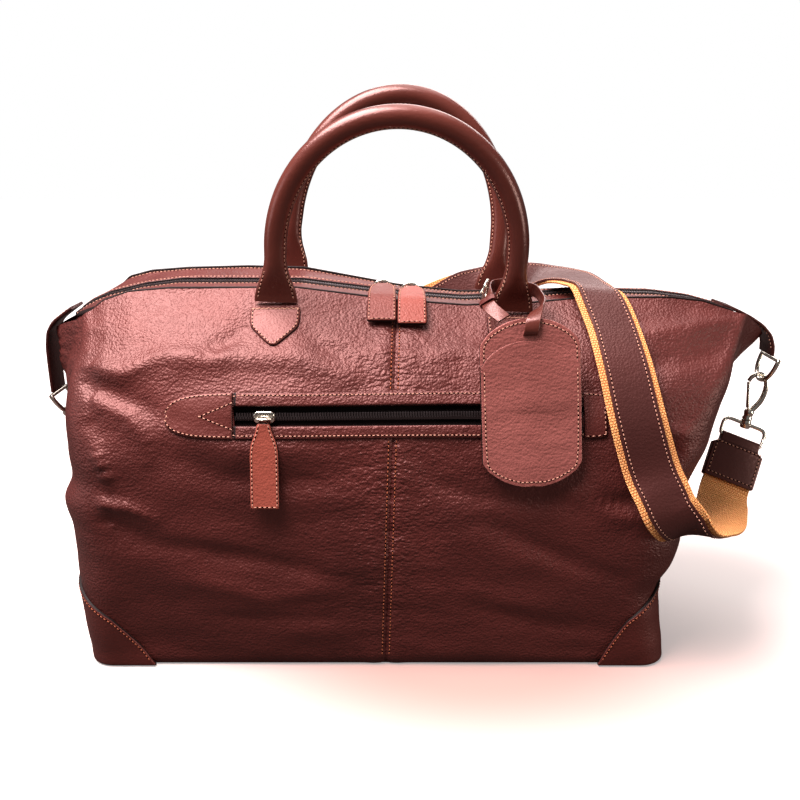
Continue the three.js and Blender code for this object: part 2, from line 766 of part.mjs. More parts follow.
// Front pocket: the opening's surround, its zip, and the pouch behind
function skinStrip(side, xs, zs, low, high) {
  const grid = (lift) => zs.map((z) => xs.map((x) => skinAtPlace(side, x, z, lift)));
  return gridGeometry(grid(high), grid(low));
}

function addPocket() {
  const xs = spread(10, pocketLeft, pocketRight);
  const top = pocketZipHeight + pocketSlot / 2;
  const bottom = pocketZipHeight - pocketSlot / 2;
  const high = skinGap + weltThickness;
  add('pocket_welt_upper', skinStrip(0, xs, [top, top + weltWidth], skinGap, high), finish.hide);
  add('pocket_welt_lower', skinStrip(0, xs, [bottom - weltWidth, bottom], skinGap, high), finish.hide);
  const tabTop = top + weltWidth;
  const tabBottom = bottom - weltWidth;
  const tab = (name, columns, inset) => {
    const grid = (lift) => spread(4).map((r) => columns.map((x, i) => {
      const z = mix(tabBottom + inset[i], tabTop - inset[i], r);
      return skinAtPlace(0, x, z, lift);
    }));
    add(name, gridGeometry(grid(skinGap + 1.6), grid(skinGap)), finish.tan);
  };
  tab('pocket_tab_left', [-153, -150, -143, -130, -117, pocketLeft - 0.6], [11, 7, 3, 1, 0, 0]);
  tab('pocket_tab_right', [pocketRight + 0.6, 152, 158, 162], [0, 0, 1, 3]);
  const tapeXs = spread(10, pocketLeft - 6, pocketRight + 6);
  const reach = pocketSlot / 2 + 8;
  const tapeZs = [pocketZipHeight - reach, pocketZipHeight, pocketZipHeight + reach];
  const tape = skinStrip(0, tapeXs, tapeZs, -leather - 1.6, -leather - 0.8);
  const toothed = [pocketZipHeight - chainWidth / 2, pocketZipHeight + chainWidth / 2];
  const chain = skinStrip(0, spread(10, pocketLeft + 2, pocketRight - 2), toothed, -leather - 1.2, -0.6);
  add('pocket_zip', join(tape, chain), finish.dark);
  addPocketSlider();
  addPouch();
}

function addPocketSlider() {
  const x = pocketLeft + 22;
  const at = skinAtPlace(0, x, pocketZipHeight, runningGap - 0.6 + 0.9);
  const out = v3(0, -1, 0);
  const body = sliderGeometry();
  body.rotateX(Math.PI / 2);
  body.translate(at.x, at.y, at.z);
  add('pocket_slider', body, finish.nickel);
  const hinge = at.clone().addScaledVector(out, sliderHeight + sliderPostHeight - 1);
  const pull = pullGeometry(pullLength + 4);
  hinge.z -= 3;
  place(pull, hinge, v3(1, 0, 0), v3(0, -0.13, -1));
  add('pocket_pull', pull, finish.tan);
}

// A flat cloth pouch hangs inside from the pocket zip, open towards it at the top
function addPouch() {
  const top = pocketZipHeight - pocketSlot / 2 - 11;
  const zs = spread(4, top - pocketPouchDepth, top);
  const xs = spread(6, pocketLeft + 2, pocketRight - 2);
  const sheet = (low, high) => {
    const grid = (lift) => zs.map((z) => xs.map((x) => skinAtPlace(0, x, z, lift)));
    return gridGeometry(grid(high), grid(low));
  };
  const near = -leather - 0.4;
  add('pocket_pouch', sheet(near - pouchThickness, near), finish.cloth);
}

// Handles: a rolled cover with a flat chape at each foot, and a rope inside the roll
function handleFrame(side, rightX, drops, tilt) {
  const rim = side === 0 ? frontRim : backRim;
  const left = skinAtPlace(side, handleLeftX, tableAt(rim, handleLeftX) - drops[0], hingeLift);
  const right = skinAtPlace(side, rightX, tableAt(rim, rightX) - drops[1], hingeLift);
  const across = right.clone().sub(left).normalize();
  const lean = (side === 0 ? -1 : 1) * Math.sin(THREE.MathUtils.degToRad(tilt));
  const up = v3(0, lean, 1).normalize();
  up.addScaledVector(across, -up.dot(across)).normalize();
  return { left, right, across, up, out: across.clone().cross(up) };
}

function addHandle(name, frame, rise) {
  const half = frame.left.distanceTo(frame.right) / 2;
  const middle = frame.left.clone().add(frame.right).divideScalar(2);
  const at = (x, h) => middle.clone().addScaledVector(frame.across, x).addScaledVector(frame.up, h);
  const straight = neckHeight + 14;
  const arch = neckHeight + rise - straight;
  const route = [[-half, neckHeight], [-half, mix(neckHeight, straight, 0.5)]];
  for (const s of spread(16)) {
    const angle = Math.PI * (1 - s);
    route.push([half * Math.cos(angle), straight + arch * Math.sin(angle)]);
  }
  route.push([half, mix(neckHeight, straight, 0.5)]);
  route.push([half, neckHeight]);
  const points = route.map(([x, h]) => at(x, h));
  const frames = framesAlong(points, points.map(() => frame.out));
  const slit = 0.05;
  const arc = (radius, turn) => spread(8).map((s) => {
    const angle = mix(slit, 2 * Math.PI - slit, turn > 0 ? s : 1 - s);
    return [radius * Math.sin(angle), radius * Math.cos(angle)];
  });
  const wallSection = [...arc(tubeRadius, 1), ...arc(tubeRadius - tubeWall, -1)];
  let cover = sweepGeometry(frames, () => wallSection);
  for (const sign of [-1, 1]) {
    const heights = [foldGap, 9, 18, neckHeight + 1.2];
    const widths = [chapeWidth / 2, chapeWidth / 2 - 2, 10.5, tubeRadius - 0.01];
    const thick = [chapeThickness / 2, chapeThickness / 2, 4, tubeRadius - 0.01];
    const footPoints = heights.map((h) => at(sign * half, h));
    const footFrames = framesAlong(footPoints, footPoints.map(() => frame.across));
    const chape = sweepGeometry(footFrames, (k) => roundSection(widths[k], thick[k], 10));
    cover = join(cover, chape);
  }
  add(`${name}_cover`, cover, finish.hide);
  const coreRadius = tubeRadius - tubeWall - coreClear;
  const inside = frames.slice(1, -1);
  add(`${name}_core`, sweepGeometry(inside, () => roundSection(coreRadius, coreRadius, 7)), finish.rope);
}

function chapePatch(name, side, hinge) {
  const drops = [0, 4, 12, 20, 27, patchLength];
  const halves = [patchWidth / 2 - 1, patchWidth / 2, patchWidth / 2, patchWidth / 2 - 3, 9, 2];
  const start = hinge.z - 4;
  const lower = (drop) => start - drop * 0.74;
  const grid = (lift) => drops.map((drop, j) => spread(4, -1, 1).map((s) => (
    skinAtPlace(side, hinge.x + s * halves[j], lower(drop), lift)
  )));
  add(name, gridGeometry(grid(skinGap + patchThickness), grid(skinGap)), finish.hide);
}

const frontHandle = handleFrame(0, handleRightX, [10, 5.7], frontHandleTilt);
const backHandle = handleFrame(2, backHandleRightX, [4.2, 2.5], backHandleTilt);

function addHandles() {
  addHandle('front_handle', frontHandle, handleRise);
  addHandle('back_handle', backHandle, backHandleRise);
  chapePatch('chape_patch_front_left', 0, frontHandle.left);
  chapePatch('chape_patch_front_right', 0, frontHandle.right);
  chapePatch('chape_patch_back_left', 2, backHandle.left);
  chapePatch('chape_patch_back_right', 2, backHandle.right);
}

// Luggage tag, hanging by its strap from the front handle's right neck
const tagTop = v3(104.5, -93.5, 268);
const tagDown = v3(0.035, -0.165, -1).normalize();
const tagRight = v3(1, 0, 0.035);

function tagOutline(topCut) {
  const half = tagWidth / 2;
  const low = -tagLength;
  const shape = new THREE.Shape();
  shape.moveTo(-half, -17 - topCut);
  shape.quadraticCurveTo(-half + 4, -11 - topCut, -half + 14, -4 - topCut);
  shape.quadraticCurveTo(0, 1 - topCut, half - 14, -4 - topCut);
  shape.quadraticCurveTo(half - 4, -11 - topCut, half, -17 - topCut);
  shape.lineTo(half, low + 18);
  shape.quadraticCurveTo(half - 4, low + 11, half - 12, low + 4);
  shape.quadraticCurveTo(0, low - 3, -half + 12, low + 4);
  shape.quadraticCurveTo(-half + 4, low + 11, -half, low + 18);
  shape.closePath();
  return shape;
}

function addTag() {
  const plate = (topCut, depth) => new THREE.ExtrudeGeometry(tagOutline(topCut), {
    depth, bevelEnabled: false, curveSegments: 4,
  });
  const slot = boxAt(
    v3(-tagSlotWidth / 2, -tagSlotDrop - tagSlotHeight / 2, -tagThickness),
    v3(tagSlotWidth / 2, -tagSlotDrop + tagSlotHeight / 2, 2 * tagThickness),
  );
  const slotted = cut(plate(0, tagThickness), slot);
  place(slotted, tagTop, tagRight, tagDown);
  add('tag_back', slotted, finish.tan);
  const flap = plate(tagFlapDrop, tagFlapThickness);
  flap.translate(0, 0, tagThickness + tagFlapGap);
  place(flap, tagTop, tagRight, tagDown);
  add('tag_flap', flap, finish.tan);
}

// The tag's strap: through the slot, round the neck of the handle and back through its buckle
const tagStrapStations = [
  [104.9, -90, 254.9, 1, 0, 0.03], [104.9, -96.4, 256.5, 1, 0, 0.03], [105.3, -100.2, 260.5, 1, 0, 0],
  [106.5, -98.2, 268.5, 0.98, 0, 0.2], [110, -88, 274, 0.85, 0, 0.5], [115, -74, 275, 0.5, 0, 0.85],
  [116, -60, 276.5, 0.1, -0.2, 1], [112, -44.5, 280, -0.1, 0, 1], [98, -37, 283, 0, 0, 1],
  [86, -39.5, 283, 0, 0, 1], [81.6, -47, 281, 0.1, 0, 1], [79, -59, 278, 0.6, 0, 0.8],
  [79, -70, 273, 0.8, 0, 0.5], [88, -83, 266, 0.95, 0, 0.2],
];

function addTagStrap() {
  const frames = strapFrames(tagStrapStations, 36);
  const half = tagStrapWidth / 2;
  add('tag_strap', sweepGeometry(frames, () => boxSection(half, 0, tagStrapThickness)), finish.hide);
  addBuckle(frames[buckleStep], half);
  const at = frames[keeperStep];
  const wide = half + runningGap + keeperThickness / 2;
  const high = tagStrapThickness + 2 * runningGap + keeperThickness / 2;
  const low = -2 * runningGap - keeperThickness / 2;
  const points = [[-wide, low], [wide, low], [wide, high], [-wide, high]].map(([w, n]) => (
    at.p.clone().addScaledVector(at.w, w).addScaledVector(at.n, n)
  ));
  const along = frames[keeperStep + 1].p.clone().sub(frames[keeperStep - 1].p).normalize();
  const ring = framesAlong(points, points.map(() => along), { closed: true });
  const section = () => boxSection(keeperLength / 2, -keeperThickness / 2, keeperThickness / 2);
  add('tag_keeper', sweepGeometry(ring, section, { closed: true }), finish.hide);
}

// A wire frame lying on the strap, with a prong hinged on its rear bar
function addBuckle(at, half) {
  const lift = tagStrapThickness + 3 * runningGap + buckleWire;
  const corner = (w, along, n) => at.p.clone().addScaledVector(at.w, w)
    .addScaledVector(at.along, along).addScaledVector(at.n, n);
  const wide = half + buckleWire + 0.6;
  const long = buckleLength / 2;
  const outline = [[-wide, -long], [0, -long], [wide, -long], [wide, 0], [wide, long], [0, long],
    [-wide, long], [-wide, 0]];
  const points = outline.map(([w, along]) => corner(w, along, lift));
  const frames = framesAlong(points, points.map(() => at.n), { closed: true });
  const wire = () => roundSection(buckleWire, buckleWire, 6);
  add('tag_buckle', sweepGeometry(frames, wire, { closed: true }), finish.nickel);
  const over = lift + buckleWire + runningGap + prongWire;
  const prong = [-long - 0.4, 0, long + 1.5].map((along) => corner(0, along, over));
  const rod = framesAlong(prong, prong.map(() => at.w));
  add('tag_prong', sweepGeometry(rod, () => roundSection(prongWire, prongWire, 6)), finish.nickel);
}

// Shoulder strap fittings. Each end: the ring hangs from the end tab, the hook from the ring,
// the loop from the hook's swivel, and the strap's cap from the loop.
const hookTop = 43.9;
const hookPath = [[0, 8.2], [0.6, 10.8], [3.6, 15.2], [6.8, 21], [8, 28], [7.6, 34.6], [5.2, hookTop - 3],
  [0.5, hookTop], [-4.2, hookTop - 1.9], [-6.9, hookTop - 5.4], [-7.7, hookTop - 8.3]];
const hookEyeHeight = hookTop - hookWire - runningGap - ringWire;
const gatePath = [[-2.4, 14], [-7.4, hookTop - 9.9]];
const gateWire = 1.6;
const barrelRadius = 4.2;
const barrelHalf = 3.6;

const strapEnds = {
  right: { ring: rightRing, up: v3(0.19, 0.03, 0.98), across: v3(1, 0, 0), hang: v3(-0.36, -0.42, -0.83),
    width: v3(1, 0, -0.12), slack: 0.75 },
  left: { ring: leftRing, up: v3(-0.12, -0.55, 0.83), across: v3(1, 0, 0), hang: v3(0.08, 0.75, -0.65),
    width: v3(0, 0.65, 0.75), slack: 1.7 },
};

function endFrame(end) {
  const out = v3(end.ring.lean, 0, -1).normalize();
  const arc = v3(end.ring.x, 0, end.ring.z).addScaledVector(out, ringDrop);
  const up = end.up.clone().normalize();
  const across = end.across.clone().addScaledVector(up, -end.across.dot(up)).normalize();
  const origin = arc.clone().addScaledVector(up, end.slack - hookEyeHeight).addScaledVector(across, -0.5);
  const hang = end.hang.clone().normalize();
  const width = end.width.clone().addScaledVector(hang, -end.width.dot(hang)).normalize();
  const barDrop = loopHeight + 2 * loopWire;
  const lowBar = origin.clone().addScaledVector(hang, barDrop);
  const strapEnd = lowBar.clone().addScaledVector(hang, loopWire);
  return { up, across, origin, hang, width, lowBar, strapEnd };
}

function addStrapEnd(name, end) {
  const frame = endFrame(end);
  const { up, across, origin, hang, width } = frame;
  const onHook = ([x, z]) => origin.clone().addScaledVector(across, x).addScaledVector(up, z);
  const face = up.clone().cross(across);
  const half = loopInside / 2 + loopWire;
  const drop = loopHeight + 2 * loopWire;
  const soft = 3;
  const outline = [[-half + soft, 0], [0, 0], [half - soft, 0], [half, soft], [half, drop - soft],
    [half - soft, drop], [0, drop], [-half + soft, drop], [-half, drop - soft], [-half, soft]];
  const onLoop = ([w, d]) => origin.clone().addScaledVector(width, w).addScaledVector(hang, d);
  const loopPoints = outline.map(onLoop);
  const loopNormal = width.clone().cross(hang);
  const loopFrames = framesAlong(loopPoints, loopPoints.map(() => loopNormal), { closed: true });
  const loop = sweepGeometry(loopFrames, () => roundSection(loopWire, loopWire, 8), { closed: true });
  const stack = (low, high, radius) => {
    const points = [low, high].map((z) => onHook([0, z]));
    const frames = framesAlong(points, points.map(() => across));
    return sweepGeometry(frames, () => roundSection(radius, radius, 10));
  };
  add(`strap_loop_${name}`, join(loop, stack(-barrelHalf, barrelHalf, barrelRadius)), finish.nickel);
  const hookPoints = hookPath.map(onHook);
  const hookFrames = framesAlong(hookPoints, hookPoints.map(() => face));
  const hook = sweepGeometry(hookFrames, () => roundSection(hookWire, hookWire, 8));
  const collar = stack(barrelHalf + runningGap, barrelHalf + runningGap + 5, barrelRadius);
  add(`hook_${name}`, join(hook, collar), finish.nickel);
  const gatePoints = gatePath.map(onHook);
  const gateFrames = framesAlong(gatePoints, gatePoints.map(() => face));
  add(`gate_${name}`, sweepGeometry(gateFrames, () => roundSection(gateWire, gateWire, 8)), finish.nickel);
}

// The strap's route from the right loop, down and up over the front, across the top behind the
// back handle, and down behind the bag to the left loop: place, then the direction of its width
const strapRoute = [
  [269.7, -50, 110.4, 0.92, -0.25, -0.15],
  [257, -79, 110.5, 0.9, -0.2, -0.1],
  [237, -108, 116.5, 0.94, -0.1, -0.05],
  [219, -119.5, 122, 0.96, -0.02, 0],
  [205.8, -122.5, 135, 0.97, 0.02, 0.08],
  [200, -119.5, 146.5, 0.97, 0.02, 0.18],
  [193, -113, 162, 0.95, 0, 0.26],
  [182, -106, 198, 0.98, 0, 0.12],
  [174, -87.5, 235, 1, 0, -0.06],
  [168.5, -63.5, 260, 0.97, -0.1, -0.2],
  [162, -42, 277.5, 0.96, -0.12, -0.2],
  [157.5, -24, 280.5, 0.98, -0.08, -0.08],
  [152, 2, 280.3, 0.98, 0.12, 0.05],
  [145.5, 26, 278, 0.9, 0.38, 0.18],
  [133, 50, 273.5, 0.66, 0.6, 0.4],
  [114, 72, 267, 0.33, 0.5, 0.8], [86, 80, 260, 0.05, 0.32, 0.95], [60, 82, 253, -0.12, 0.2, 0.96],
  [30, 92, 237, -0.32, -0.02, 0.94], [-15, 107.5, 196, -0.5, -0.16, 0.84], [-60, 114, 161, -0.5, 0, 0.86],
  [-110, 119, 131, -0.42, 0, 0.9], [-160, 121, 109, -0.3, 0, 0.95], [-200, 121, 96, -0.15, 0, 0.98],
  [-226, 117, 91, 0, 0.02, 1], [-241, 102, 91, 0, 0.2, 0.97], [-247, 80, 96, 0, 0.4, 0.91],
];

function addShoulderStrap() {
  const right = endFrame(strapEnds.right);
  const left = endFrame(strapEnds.left);
  const station = (p, w) => [p.x, p.y, p.z, w.x, w.y, w.z];
  const inCap = (frame, along) => station(
    frame.strapEnd.clone().addScaledVector(frame.hang, along),
    frame.width,
  );
  const reach = [capTail, capLength * 0.5, capLength * 0.9, capLength + 5];
  const stations = [
    ...reach.map((d) => inCap(right, d)),
    ...strapRoute,
    ...reach.map((d) => inCap(left, d)).reverse(),
  ];
  const frames = strapFrames(stations, strapSteps);
  const sheet = (places, low, high) => [
    ...places.map((w) => [w, low]),
    ...[...places].reverse().map((w) => [w, high]),
  ];
  const edge = strapLeatherWidth / 2;
  const across = [-strapWidth / 2, -edge, 0, edge, strapWidth / 2];
  add('strap_webbing', sweepGeometry(frames, () => sheet(across, -strapThickness, 0)), finish.webbing);
  const far = frames.length - 1;
  const clear = capLength + 4 - capTail;
  const first = frames.findIndex((frame) => frame.p.distanceTo(frames[0].p) > clear);
  const last = far - [...frames].reverse().findIndex((frame) => frame.p.distanceTo(frames[far].p) > clear);
  const low = -strapThickness - strapLayerGap - strapLeatherThickness;
  const strip = () => sheet([-edge, 0, edge], low, low + strapLeatherThickness);
  add('strap_leather', sweepGeometry(frames.slice(first, last + 1), strip), finish.hide);
  addCap('strap_cap_right', frames[0], right);
  addCap('strap_cap_left', frames[far], left);
}

// A leather sleeve over the strap's end, folded round the loop's lower bar
function addCap(name, frame, end) {
  const low = -strapThickness - capSlack - capThickness;
  const high = capSlack + capThickness;
  const half = capWidth / 2;
  const top = loopWire * 2 + runningGap + capThickness + 0.5;
  const neck = capNeckWidth / 2;
  const wide = boxAt(v3(-half, low, -capLength), v3(half, high, -capNeckDrop));
  const narrow = boxAt(v3(-neck, low, -capNeckDrop - 1), v3(neck, high, top));
  const body = join(wide, narrow);
  const pocket = boxAt(
    v3(-strapWidth / 2 - strapLayerGap, -strapThickness - capSlack, -capLength - 1),
    v3(strapWidth / 2 + strapLayerGap, capSlack, -capTail + runningGap),
  );
  const channel = boxAt(
    v3(-half - 1, low + 0.5, -runningGap),
    v3(half + 1, high - 0.5, top - capThickness),
  );
  const cap = cut(body, pocket, channel);
  const x = end.width.clone();
  const z = end.hang.clone().multiplyScalar(-1);
  const y = z.clone().cross(x);
  const inward = frame.n.dot(y) < 0 ? -1 : 1;
  const basis = new THREE.Matrix4().makeBasis(
    x.clone().multiplyScalar(inward),
    y.clone().multiplyScalar(inward),
    z,
  ).setPosition(end.strapEnd);
  cap.applyMatrix4(basis);
  add(name, cap, finish.hide);
}

bag.name = 'weekender_bag';
addBody();
addBase();
cornerPatch('corner_patch_front_left', 0);
cornerPatch('corner_patch_front_right', 1);
cornerPatch('corner_patch_back_left', 3);
cornerPatch('corner_patch_back_right', 2);
addTopClosure();
addEnds();
addMainSliders();
addPocket();
addHandles();
addTag();
addTagStrap();
for (const [name, end] of Object.entries(strapEnds)) addStrapEnd(name, end);
addShoulderStrap();

export default bag;
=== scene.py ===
import math
import bmesh
import bpy
import numpy as np
from mathutils import Matrix, Vector, noise


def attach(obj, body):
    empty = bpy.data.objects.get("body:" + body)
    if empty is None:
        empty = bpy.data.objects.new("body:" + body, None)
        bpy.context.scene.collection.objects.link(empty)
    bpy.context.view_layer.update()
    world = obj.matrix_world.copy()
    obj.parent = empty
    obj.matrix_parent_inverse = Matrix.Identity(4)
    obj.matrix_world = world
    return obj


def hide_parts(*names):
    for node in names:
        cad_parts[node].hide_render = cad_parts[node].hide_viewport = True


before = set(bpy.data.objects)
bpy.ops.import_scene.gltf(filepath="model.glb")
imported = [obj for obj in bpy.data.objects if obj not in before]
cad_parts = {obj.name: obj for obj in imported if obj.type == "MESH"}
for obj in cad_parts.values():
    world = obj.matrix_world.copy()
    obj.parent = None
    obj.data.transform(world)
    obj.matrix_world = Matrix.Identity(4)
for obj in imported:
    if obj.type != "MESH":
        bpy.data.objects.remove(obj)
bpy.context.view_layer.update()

# The bag's skin as in the CAD source, in millimetres; each mesh is turned into metres when it is made
mm = 0.001
faceSides = {"front": 0, "back": 2}  # numbers count the sides from the front, anticlockwise from above
hands = {"left": False, "right": True}  # True is the half that goes to the right
faceSign = {0: -1, 2: 1}
handSign = {False: -1, True: 1}
rimHeight = 281.0
seamFoot, seamLean = 3.0, 12.0  # x of the middle seam at the foot and at the rim
seamX = {False: -227.5, True: 279.0}  # x of the end seams at the rim
earSpread = 9.0
flatShare = 0.84  # share of a half face before its corner begins
leather = 2.0
pocketLeft, pocketRight = -104.0, 145.0
pocketZipHeight, pocketSlot = 199.0, 13.0
weltWidth = 9.0

reaches = {
    False: [[0, 224], [0.08, 227.5], [0.29, 235], [0.42, 236], [0.5, 239], [0.57, 231.5], [0.65, 232.5],
            [0.76, 233], [0.87, 228], [0.93, 225], [1, 227.5]],
    True: [[0, 218], [0.16, 214], [0.24, 215], [0.3, 226], [0.36, 230], [0.46, 229], [0.54, 231],
           [0.64, 241], [0.74, 247], [0.83, 256], [0.91, 266], [1, 279]],
}
depths = {
    0: [[0, 102], [0.15, 106], [0.35, 109], [0.55, 107], [0.7, 100], [0.79, 89], [0.87, 74], [0.95, 51],
        [1, 36]],
    2: [[0, 102], [0.15, 106], [0.35, 109], [0.55, 107], [0.7, 100], [0.79, 88], [0.87, 71], [0.95, 44],
        [1, 28]],
}
cornerRound = [[0, 18], [0.15, 28], [0.32, 42], [0.5, 40], [0.7, 28], [0.85, 18], [1, 9]]
prows = {
    False: [[0, 0], [0.2, -5], [0.5, -12], [0.65, -4], [0.78, 14], [0.88, 26], [1, 33]],
    True: [[0, 0], [0.2, -5], [0.5, -12], [0.65, -6], [0.78, 8], [0.88, 17], [1, 26]],
}
rims = {
    0: [[-227.5, 258], [-209, 272], [-190, 278.5], [-160, 281], [-64, 281], [12, 271.5], [64, 267.5],
        [115, 269.5], [150, 273], [218, 274], [243, 271.5], [279, 260]],
    2: [[-227.5, 262], [-209, 280], [-190, 285], [-160, 287.5], [-110, 289], [-64, 288], [12, 274],
        [64, 268.5], [115, 269], [150, 270.5], [218, 269.5], [243, 265], [279, 256]],
}
ridge = [[-260, 245], [-247, 255], [-235, 263.5], [-219, 271], [-190, 278], [-160, 282], [-64, 282],
         [12, 272.5], [64, 268.5], [115, 270.5], [150, 274], [216, 272.5], [245, 268.5], [270, 261.5],
         [290, 251.5], [305, 239]]
earHeights = {False: (258, 262), True: (260, 256)}  # front and back
tipHeights = {False: 245, True: 239}

def mix(a, b, s):
    return a + (b - a) * s

def smooth(low, high, value):
    s = np.clip((value - low) / (high - low), 0, 1)
    return s * s * (3 - 2 * s)

def unit(v):
    return v / np.maximum(np.linalg.norm(v, axis=-1, keepdims=True), 1e-9)

# Straight lookup between stations
def tableAt(table, key):
    table = np.asarray(table, float)
    return np.interp(key, table[:, 0], table[:, 1])

# The same with eased slopes
def curveAt(table, key):
    table = np.asarray(table, float)
    xs, ys = table[:, 0], table[:, 1]
    key = np.clip(np.asarray(key, float), xs[0], xs[-1])
    i = np.clip(np.searchsorted(xs, key, "left"), 1, len(xs) - 1)
    slopes = np.empty(len(xs))
    slopes[1:-1] = (ys[2:] - ys[:-2]) / (xs[2:] - xs[:-2])
    slopes[0] = (ys[1] - ys[0]) / (xs[1] - xs[0])
    slopes[-1] = (ys[-1] - ys[-2]) / (xs[-1] - xs[-2])
    span = xs[i] - xs[i - 1]
    s = (key - xs[i - 1]) / span
    hold = ys[i - 1] * (2 * s ** 3 - 3 * s * s + 1) + ys[i] * (3 * s * s - 2 * s ** 3)
    lean = slopes[i - 1] * (s ** 3 - 2 * s * s + s) + slopes[i] * (s ** 3 - s * s)
    return hold + span * lean

def lengthsAlong(route):
    return np.r_[0, np.cumsum(np.linalg.norm(np.diff(route, axis=0), axis=1))]

# A route, or what goes with it, at given lengths
def routeAt(route, lengths, at):
    return np.stack([np.interp(at, lengths, route[:, i]) for i in range(route.shape[1])], -1)

# The front or back skin; w is 0 at the middle seam and 1 at the end seam, t is 0 at the foot and 1 at the rim
def facePoint(side, goesRight, w, t):
    w, t = np.broadcast_arrays(np.asarray(w, float), np.asarray(t, float))
    sign = handSign[goesRight]
    seam = mix(seamFoot, seamLean, t)
    bend = curveAt(cornerRound, t)
    length = curveAt(reaches[goesRight], t) - sign * seam
    depth = curveAt(depths[side], t) + earSpread * w ** 3 * t ** 6
    onFlat = np.minimum(1, w / flatShare)
    onCorner = np.maximum(0, (w - flatShare) / (1 - flatShare))
    angle = onCorner * math.pi / 2
    run = onFlat * (length - bend) + bend * np.sin(angle)
    back = bend * (1 - np.cos(angle))
    edge = seamX[goesRight]
    topAt = mix(mix(seamLean, edge - sign * earSpread, onFlat), edge, onCorner)
    rim = tableAt(rims[side], topAt)
    return np.stack([seam + sign * run, (depth - back) * faceSign[side], rim * t], -1)

# The left or right end skin; v is 0 at its front seam and 1 at its back seam
def endPoint(goesRight, v, t):
    v, t = np.broadcast_arrays(np.asarray(v, float), np.asarray(t, float))
    bend = curveAt(cornerRound, t)
    yFront = -(curveAt(depths[0], t) + earSpread * t ** 6 - bend)
    yBack = curveAt(depths[2], t) + earSpread * t ** 6 - bend
    w = np.abs(2 * v - 1)
    x = curveAt(reaches[goesRight], t) + curveAt(prows[goesRight], t) * (1 - w ** mix(2, 1.25, t ** 4))
    z = mix(tipHeights[goesRight], np.where(v < 0.5, *earHeights[goesRight]), w) * t
    return np.stack([x * handSign[goesRight], mix(yFront, yBack, v), z], -1)

# Where the front or back skin is over a given x and z
def faceShare(side, x, z):
    x, z = np.broadcast_arrays(np.asarray(x, float), np.asarray(z, float))
    t = z / rimHeight
    for _ in range(10):
        seam = mix(seamFoot, seamLean, t)
        goesRight = x > seam
        reach = np.where(goesRight, curveAt(reaches[True], t) - seam, curveAt(reaches[False], t) + seam)
        w = flatShare * np.minimum(1, np.abs(x - seam) / (reach - curveAt(cornerRound, t)))
        edge = np.where(goesRight, seamX[True] - earSpread, seamX[False] + earSpread)
        t = np.minimum(1, z / tableAt(rims[side], mix(seamLean, edge, w / flatShare)))
    return goesRight, w, t

# The way a half face looks at w and t
def faceNormal(side, goesRight, w, t, step=0.01):
    w = np.minimum(w, 0.985)
    alongW = facePoint(side, goesRight, w + step, t) - facePoint(side, goesRight, np.maximum(w - step, 0), t)
    up, down = np.minimum(t + step, 1), np.maximum(t - step, 0)
    normal = unit(np.cross(alongW, facePoint(side, goesRight, w, up) - facePoint(side, goesRight, w, down)))
    return normal * np.where(normal[..., 1:2] * faceSign[side] > 0, 1, -1)

# The plain front or back skin and the way it looks, over a given x and z
def baseOfFace(side, x, z):
    goesRight, w, t = faceShare(side, x, z)
    place, normal = np.zeros(w.shape + (3,)), np.zeros(w.shape + (3,))
    for right in hands.values():
        here = goesRight == right
        if here.any():
            place[here] = facePoint(side, right, w[here], t[here])
            normal[here] = faceNormal(side, right, w[here], t[here])
    return place, normal

# Any side of the plain skin; around counts sides from the front left corner, anticlockwise from above
def skinBase(around, t):
    around, t = np.broadcast_arrays(np.asarray(around, float) % 4, np.asarray(t, float))
    side = np.floor(around).astype(int)
    u = around - side
    place = np.zeros(t.shape + (3,))
    for s in faceSides.values():
        for goesRight in hands.values():
            here = (side == s) & (((u > 0.5) == (s == 0)) == goesRight)
            if here.any():
                place[here] = facePoint(s, goesRight, np.abs(2 * u[here] - 1), t[here])
    for s, goesRight in ((1, True), (3, False)):
        here = side == s
        if here.any():
            place[here] = endPoint(goesRight, u[here] if goesRight else 1 - u[here], t[here])
    return place

